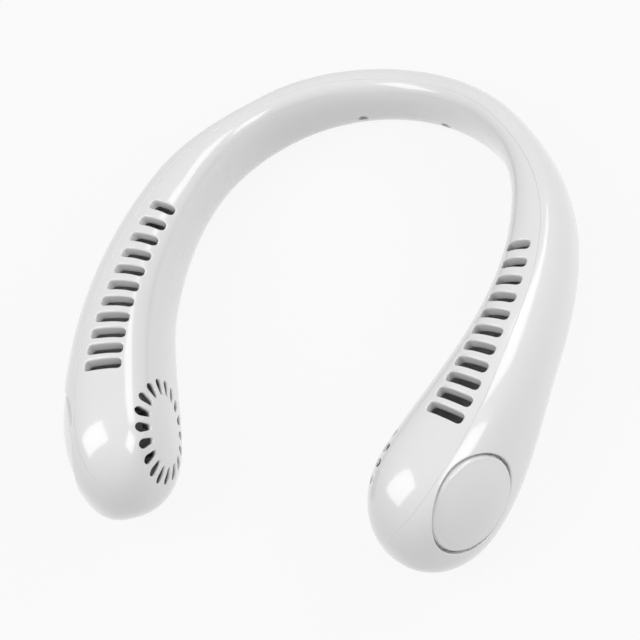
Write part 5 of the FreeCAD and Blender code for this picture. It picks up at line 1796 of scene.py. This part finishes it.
class GrainGroups:
    """Shader groups that give a varying colour, roughness and height from the piece's own coordinates."""

    fine_share: float = 0.4
    noise_low: float = 0.3
    noise_high: float = 0.7
    broad_detail: float = 3.0
    moulded_detail: float = 2.0
    drawn_detail: float = 4.0
    drawn_scale: tuple[float, ...] = (1.0, 1.0, 0.06)
    winding_waver: float = 0.4

    def __init__(self) -> None:
        """Start with no group made."""
        self.made: dict[Grain, bpy.types.NodeTree] = {}

    def get(self, grain: Grain) -> bpy.types.NodeTree:
        """Find a group, which is built when it is first asked for.

        Args:
            grain: Which kind of detail.

        Returns:
            The group.
        """
        if grain not in self.made:
            self.made[grain] = self.build(grain)
        return self.made[grain]

    def build(self, grain: Grain) -> bpy.types.NodeTree:
        """Build a group.

        Args:
            grain: Which kind of detail.

        Returns:
            The group, with its inputs and outputs named.
        """
        tree = bpy.data.node_groups.new(grain.value + "_grain", "ShaderNodeTree")
        socket_of(tree, "Tone", "NodeSocketColor")
        socket_of(tree, "Second Tone", "NodeSocketColor")
        for name in ("Fine Scale", "Broad Scale", "Roughness Low", "Roughness High"):
            socket_of(tree, name, "NodeSocketFloat")
        socket_of(tree, "Color", "NodeSocketColor", incoming=False)
        socket_of(tree, "Roughness", "NodeSocketFloat", incoming=False)
        socket_of(tree, "Height", "NodeSocketFloat", incoming=False)
        maker = NodeTreeMaker(tree)
        given = maker.node("NodeGroupInput").outputs
        place = maker.node("ShaderNodeTexCoord").outputs["Object"]
        spread = {"Vector": place, "Scale": given["Broad Scale"], "Detail": self.broad_detail}
        broad = maker.node("ShaderNodeTexNoise", spread).outputs[0]
        fine = self.fine_detail(maker, grain, place, given["Fine Scale"])
        # A mix of colours takes its two colours at inputs 6 and 7 and gives the result at output 2.
        tones = {0: broad, 6: given["Tone"], 7: given["Second Tone"]}
        colour = maker.node("ShaderNodeMix", tones, data_type="RGBA").outputs[2]
        broad_part = maker.math("MULTIPLY", broad, 1.0 - self.fine_share)
        blend = maker.math("ADD", broad_part, maker.math("MULTIPLY", fine, self.fine_share))
        rough = maker.node("ShaderNodeMapRange", {
            "Value": blend, "From Min": self.noise_low, "From Max": self.noise_high,
            "To Min": given["Roughness Low"], "To Max": given["Roughness High"]}).outputs[0]
        maker.node("NodeGroupOutput", {"Color": colour, "Roughness": rough, "Height": fine})
        return tree

    def fine_detail(self, maker: NodeTreeMaker, grain: Grain, place: bpy.types.NodeSocket,
                    scale: bpy.types.NodeSocket) -> bpy.types.NodeSocket:
        """Add the nodes of the fine pattern.

        Args:
            maker: Maker of the group's nodes.
            grain: Which kind of detail.
            place: Coordinates.
            scale: Scale of the pattern.

        Returns:
            The pattern's value, from 0 to 1.
        """
        pattern = {"Vector": place, "Scale": scale}
        if grain is Grain.MOULDED:
            pattern["Detail"] = self.moulded_detail
            return maker.node("ShaderNodeTexNoise", pattern).outputs[0]
        if grain is Grain.DRAWN:
            drawn = maker.node("ShaderNodeMapping", {"Vector": place, "Scale": self.drawn_scale}).outputs[0]
            pattern |= {"Vector": drawn, "Detail": self.drawn_detail}
            return maker.node("ShaderNodeTexNoise", pattern).outputs[0]
        if grain is Grain.WOUND:
            wave = maker.node("ShaderNodeTexWave", {**pattern, "Distortion": self.winding_waver},
                              bands_direction="Z")
            return wave.outputs["Fac"]
        return maker.node("ShaderNodeTexVoronoi", pattern).outputs["Distance"]


GRAINS = GrainGroups()


@dataclass(frozen=True)
class Finish:
    """One procedural finish: two close tones, a range of roughness and a fine relief."""

    name: str
    tone: tuple[float, float, float]
    second_tone: tuple[float, float, float]
    rough: tuple[float, float]
    grain: Grain = Grain.MOULDED
    fine_scale: float = 2500.0
    broad_scale: float = 60.0
    relief: float = 0.00001
    metallic: float = 0.0
    coat: float = 0.0
    coat_rough: float = 0.05
    specular: float = 0.5
    transmission: float = 0.0

    def material(self) -> bpy.types.Material:
        """Build the finish's material.

        Returns:
            The new material.
        """
        material = bpy.data.materials.new(self.name)
        material.use_nodes = True
        tree = material.node_tree
        tree.nodes.clear()
        maker = NodeTreeMaker(tree)
        grain = maker.node("ShaderNodeGroup", node_tree=GRAINS.get(self.grain))
        for name, value in (("Tone", (*self.tone, 1.0)), ("Second Tone", (*self.second_tone, 1.0)),
                            ("Fine Scale", self.fine_scale), ("Broad Scale", self.broad_scale),
                            ("Roughness Low", self.rough[0]), ("Roughness High", self.rough[1])):
            grain.inputs[name].default_value = value
        bump = maker.node("ShaderNodeBump", {"Height": grain.outputs["Height"], "Distance": self.relief,
                                             "Strength": 1.0})
        shader = maker.node("ShaderNodeBsdfPrincipled", {
            "Base Color": grain.outputs["Color"], "Roughness": grain.outputs["Roughness"],
            "Metallic": self.metallic, "Coat Weight": self.coat, "Coat Roughness": self.coat_rough,
            "Specular IOR Level": self.specular, "Transmission Weight": self.transmission,
            "Normal": bump.outputs[0]})
        maker.node("ShaderNodeOutputMaterial", {0: shader.outputs[0]})
        return material


FINISHES = (
    Finish("casing", (0.81, 0.81, 0.81), (0.83, 0.83, 0.83), (0.20, 0.26), relief=0.000004, fine_scale=1500.0,
           coat=0.9, coat_rough=0.05),
    Finish("button", (0.77, 0.77, 0.775), (0.79, 0.79, 0.795), (0.26, 0.34), relief=0.000006),
    Finish("wheel", (0.42, 0.43, 0.45), (0.46, 0.47, 0.49), (0.40, 0.52)),
    Finish("frame", (0.10, 0.10, 0.105), (0.13, 0.13, 0.135), (0.45, 0.58)),
    Finish("steel", (0.62, 0.63, 0.65), (0.70, 0.71, 0.73), (0.22, 0.38), Grain.DRAWN, metallic=1.0),
    Finish("lamination", (0.30, 0.31, 0.34), (0.38, 0.39, 0.42), (0.35, 0.5), Grain.WOUND, fine_scale=900.0,
           metallic=1.0, relief=0.00004),
    Finish("magnet", (0.08, 0.08, 0.085), (0.11, 0.11, 0.115), (0.55, 0.7), Grain.CELLED, metallic=0.6),
    Finish("copper", (0.62, 0.27, 0.12), (0.72, 0.34, 0.16), (0.25, 0.4), Grain.WOUND, fine_scale=1600.0,
           metallic=1.0, relief=0.00006),
    Finish("foam", (0.55, 0.55, 0.56), (0.60, 0.60, 0.61), (0.85, 0.98), Grain.CELLED, fine_scale=1800.0,
           relief=0.0001, specular=0.2),
    Finish("cell", (0.62, 0.64, 0.67), (0.68, 0.70, 0.73), (0.25, 0.42), metallic=0.9, broad_scale=120.0,
           relief=0.00004, fine_scale=500.0),
    Finish("board", (0.02, 0.12, 0.06), (0.03, 0.16, 0.08), (0.3, 0.45), fine_scale=900.0),
    Finish("switch", (0.05, 0.05, 0.055), (0.07, 0.07, 0.075), (0.45, 0.6)),
    Finish("plunger", (0.70, 0.70, 0.68), (0.75, 0.75, 0.73), (0.4, 0.5)),
    Finish("lens", (0.80, 0.85, 0.90), (0.86, 0.90, 0.94), (0.3, 0.4), transmission=0.5),
    Finish("lead", (0.06, 0.06, 0.065), (0.09, 0.09, 0.095), (0.4, 0.55), Grain.WOUND, fine_scale=300.0),
    Finish("screw", (0.55, 0.56, 0.58), (0.62, 0.63, 0.65), (0.25, 0.4), Grain.DRAWN, metallic=1.0),
)


@dataclass
class Dressing:
    """Gives the carried-over CAD nodes and the new pieces their finishes, bodies and slots."""

    materials: dict[str, bpy.types.Material] = field(default_factory=dict)

    def prepare(self) -> None:
        """Build every finish."""
        self.materials = {finish.name: finish.material() for finish in FINISHES}

    def dress(self, piece: bpy.types.Object, slot: str) -> None:
        """Put a finish on a piece."""
        piece.data.materials.clear()
        piece.data.materials.append(self.materials[slot])

    def settle(self, piece: bpy.types.Object, body: str, slot: str, *nodes: str) -> None:
        """Finish a new piece.

        Args:
            piece: The piece.
            body: CAD body that it moves with.
            slot: Material slot of the record.
            nodes: CAD nodes that it stands for.
        """
        self.dress(piece, slot)
        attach(piece, body)
        if nodes:
            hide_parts(*nodes)
        log.info("%s rides on %s in %s, %d faces", piece.name, body, slot, len(piece.data.polygons))

    def carried_over(self) -> None:
        """Dress the CAD nodes that keep their own shape."""
        slots = {row["node"]: row["material_slot"] for row in frame["record"]["subparts"]}
        for name, node in frame["nodes"].items():
            self.dress(node, slots[name])
            log.info("%s keeps its shape in %s", name, slots[name])


@dataclass(frozen=True)
class Softbox:
    """One soft light: where it stands as seen from the object, its size and its strength."""

    name: str
    azimuth: float
    elevation: float
    distance: float
    width: float
    height: float
    power: float

    def build(self, target: Vector) -> None:
        """Put the light up.

        Args:
            target: Point that it looks at, in metres.
        """
        data = bpy.data.lights.new(self.name, "AREA")
        data.shape = "RECTANGLE"
        data.size, data.size_y = self.width, self.height
        data.energy = self.power
        light = linked(self.name, data)
        turn, climb = math.radians(self.azimuth), math.radians(self.elevation)
        away = Vector((math.sin(turn) * math.cos(climb), -math.cos(turn) * math.cos(climb), math.sin(climb)))
        light.location = target + away * self.distance
        light.rotation_euler = away.to_track_quat("Z", "Y").to_euler()


@dataclass
class Studio:
    """Pale floor, soft lights, surroundings and the camera."""

    camera_place: tuple[float, float, float] = (265.303, -343.042, 659.915)
    camera_back: tuple[float, float, float] = (0.35080298, -0.43043363, 0.83166349)
    camera_up: tuple[float, float, float] = (-0.11647005, 0.86115265, 0.49482405)
    focal_pixels: float = 2011.43
    image_pixels: float = 640.0
    sensor: float = 36.0
    far_clip: float = 50.0
    light_target: tuple[float, float, float] = (0.0, 0.0, 0.03)
    floor_size: float = 6.0
    floor_drop: float = 0.0002
    softboxes: tuple[Softbox, ...] = (
        Softbox("key_softbox", 138.0, 40.0, 1.2, 0.8, 0.42, 2.9),
        Softbox("left_softbox", -52.0, 55.0, 1.2, 0.62, 0.85, 5.0),
        Softbox("right_softbox", 84.0, 34.0, 1.5, 0.7, 0.7, 5.0),
    )
    world_strength: float = 0.44
    own_white: float = 0.9
    floor_tone: float = 0.6

    def camera(self) -> None:
        """Set the camera to the photograph's view."""
        data = bpy.data.cameras.new("camera")
        data.sensor_width = self.sensor
        data.sensor_fit = "HORIZONTAL"
        data.lens = self.sensor * self.focal_pixels / self.image_pixels
        data.clip_end = self.far_clip
        camera = linked("camera", data)
        back, up = Vector(self.camera_back).normalized(), Vector(self.camera_up)
        right = up.cross(back).normalized()
        up = back.cross(right)
        place = Vector(self.camera_place) * MILLI
        camera.matrix_world = Matrix((
            (right.x, up.x, back.x, place.x), (right.y, up.y, back.y, place.y),
            (right.z, up.z, back.z, place.z), (0.0, 0.0, 0.0, 1.0)))
        bpy.context.scene.camera = camera

    def seen_directly(self, maker: NodeTreeMaker) -> bpy.types.NodeSocket:
        """Mask the rays that show the surroundings: camera, glossy and transmission rays.

        Args:
            maker: Maker of the tree's nodes.

        Returns:
            The mask, 1 for such a ray.
        """
        path = maker.node("ShaderNodeLightPath").outputs
        shown = maker.math("MAXIMUM", path["Is Camera Ray"], path["Is Glossy Ray"])
        return maker.math("MAXIMUM", shown, path["Is Transmission Ray"])

    def floor(self) -> None:
        """Lay the floor: pale and matt, with part of its white its own, so that the shadow stays soft."""
        half = self.floor_size / 2
        mesh = bpy.data.meshes.new("floor")
        mesh.from_pydata([(-half, -half, 0.0), (half, -half, 0.0), (half, half, 0.0), (-half, half, 0.0)], [],
                         [(0, 1, 2, 3)])
        floor = linked("floor", mesh)
        floor.location.z = -self.floor_drop
        material = bpy.data.materials.new("floor")
        material.use_nodes = True
        material.node_tree.nodes.clear()
        maker = NodeTreeMaker(material.node_tree)
        matt = maker.node("ShaderNodeBsdfDiffuse", {"Color": (*(self.floor_tone,) * 3, 1.0)})
        white = maker.node("ShaderNodeEmission", {"Color": WHITE, "Strength": 1.0})
        share = maker.math("MULTIPLY", self.seen_directly(maker), self.own_white)
        mixed = maker.node("ShaderNodeMixShader", {0: share, 1: matt.outputs[0], 2: white.outputs[0]})
        maker.node("ShaderNodeOutputMaterial", {0: mixed.outputs[0]})
        mesh.materials.append(material)

    def surroundings(self) -> None:
        """Light the scene evenly from all round, and show white where nothing stands."""
        world = bpy.data.worlds.new("studio")
        bpy.context.scene.world = world
        world.use_nodes = True
        world.node_tree.nodes.clear()
        maker = NodeTreeMaker(world.node_tree)
        even = maker.node("ShaderNodeBackground", {"Color": WHITE, "Strength": self.world_strength})
        white = maker.node("ShaderNodeBackground", {"Color": WHITE, "Strength": 1.0})
        shown = self.seen_directly(maker)
        mixed = maker.node("ShaderNodeMixShader", {0: shown, 1: even.outputs[0], 2: white.outputs[0]})
        maker.node("ShaderNodeOutputWorld", {0: mixed.outputs[0]})

    def build(self) -> None:
        """Set up the whole studio."""
        bpy.context.scene.view_settings.view_transform = "Standard"
        for softbox in self.softboxes:
            softbox.build(Vector(self.light_target))
        self.floor()
        self.surroundings()
        self.camera()


def main() -> None:
    """Build every piece in order, dress it and set up the studio."""
    logging.basicConfig(level=logging.INFO, format="%(name)s: %(message)s")
    dressing = Dressing()
    dressing.prepare()
    dressing.carried_over()
    casings = Casings()
    dressing.settle(casings.neck_side(), "case", "casing", Shell.NECK.value)
    dressing.settle(casings.outside(), "case", "casing", Shell.OUTSIDE.value)
    covers = Covers()
    blower = Blower()
    foam = SoftSeal()
    for side, hand in HANDS.items():
        dressing.settle(covers.build(side), "case", "casing", side + "_outer_cover")
        rotor = side + "_rotor"
        dressing.settle(blower.wheel(side + "_blower_wheel", hand), rotor, "wheel", side + "_impeller")
        blades = blower.blade_ring(side + "_blower_blades", hand, dressing.materials["wheel"])
        dressing.settle(blades, rotor, "wheel", side + "_impeller")
    for side in HANDS:
        seal = foam.build(side + "_foam_seal", frame["nodes"][side + "_duct_seal"])
        dressing.settle(seal, "case", "foam", side + "_duct_seal")
    controls = casings.controls
    nape_seats = [casings.shell_screws.seat(hand)[0] for hand in HANDS.values()]
    frame_seats = [seat.flipped() for hand in HANDS.values() for seat in blower.bolts(hand)]
    board_seats = [seat.flipped() for seat in controls.board_seats()]
    for name, seats, length, node in (
            ("nape_screws", nape_seats, casings.shell_screws.length, "shell_screws"),
            ("motor_frame_screws", frame_seats, blower.bolt_length, "motor_screws"),
            ("circuit_board_screws", board_seats, controls.board_screw_length, "board_screws")):
        screws = ScrewSet().build(name, seats, length, dressing.materials["screw"])
        dressing.settle(screws, "case", "screw", node)
    Studio().build()


if __name__ == "__main__":
    main()
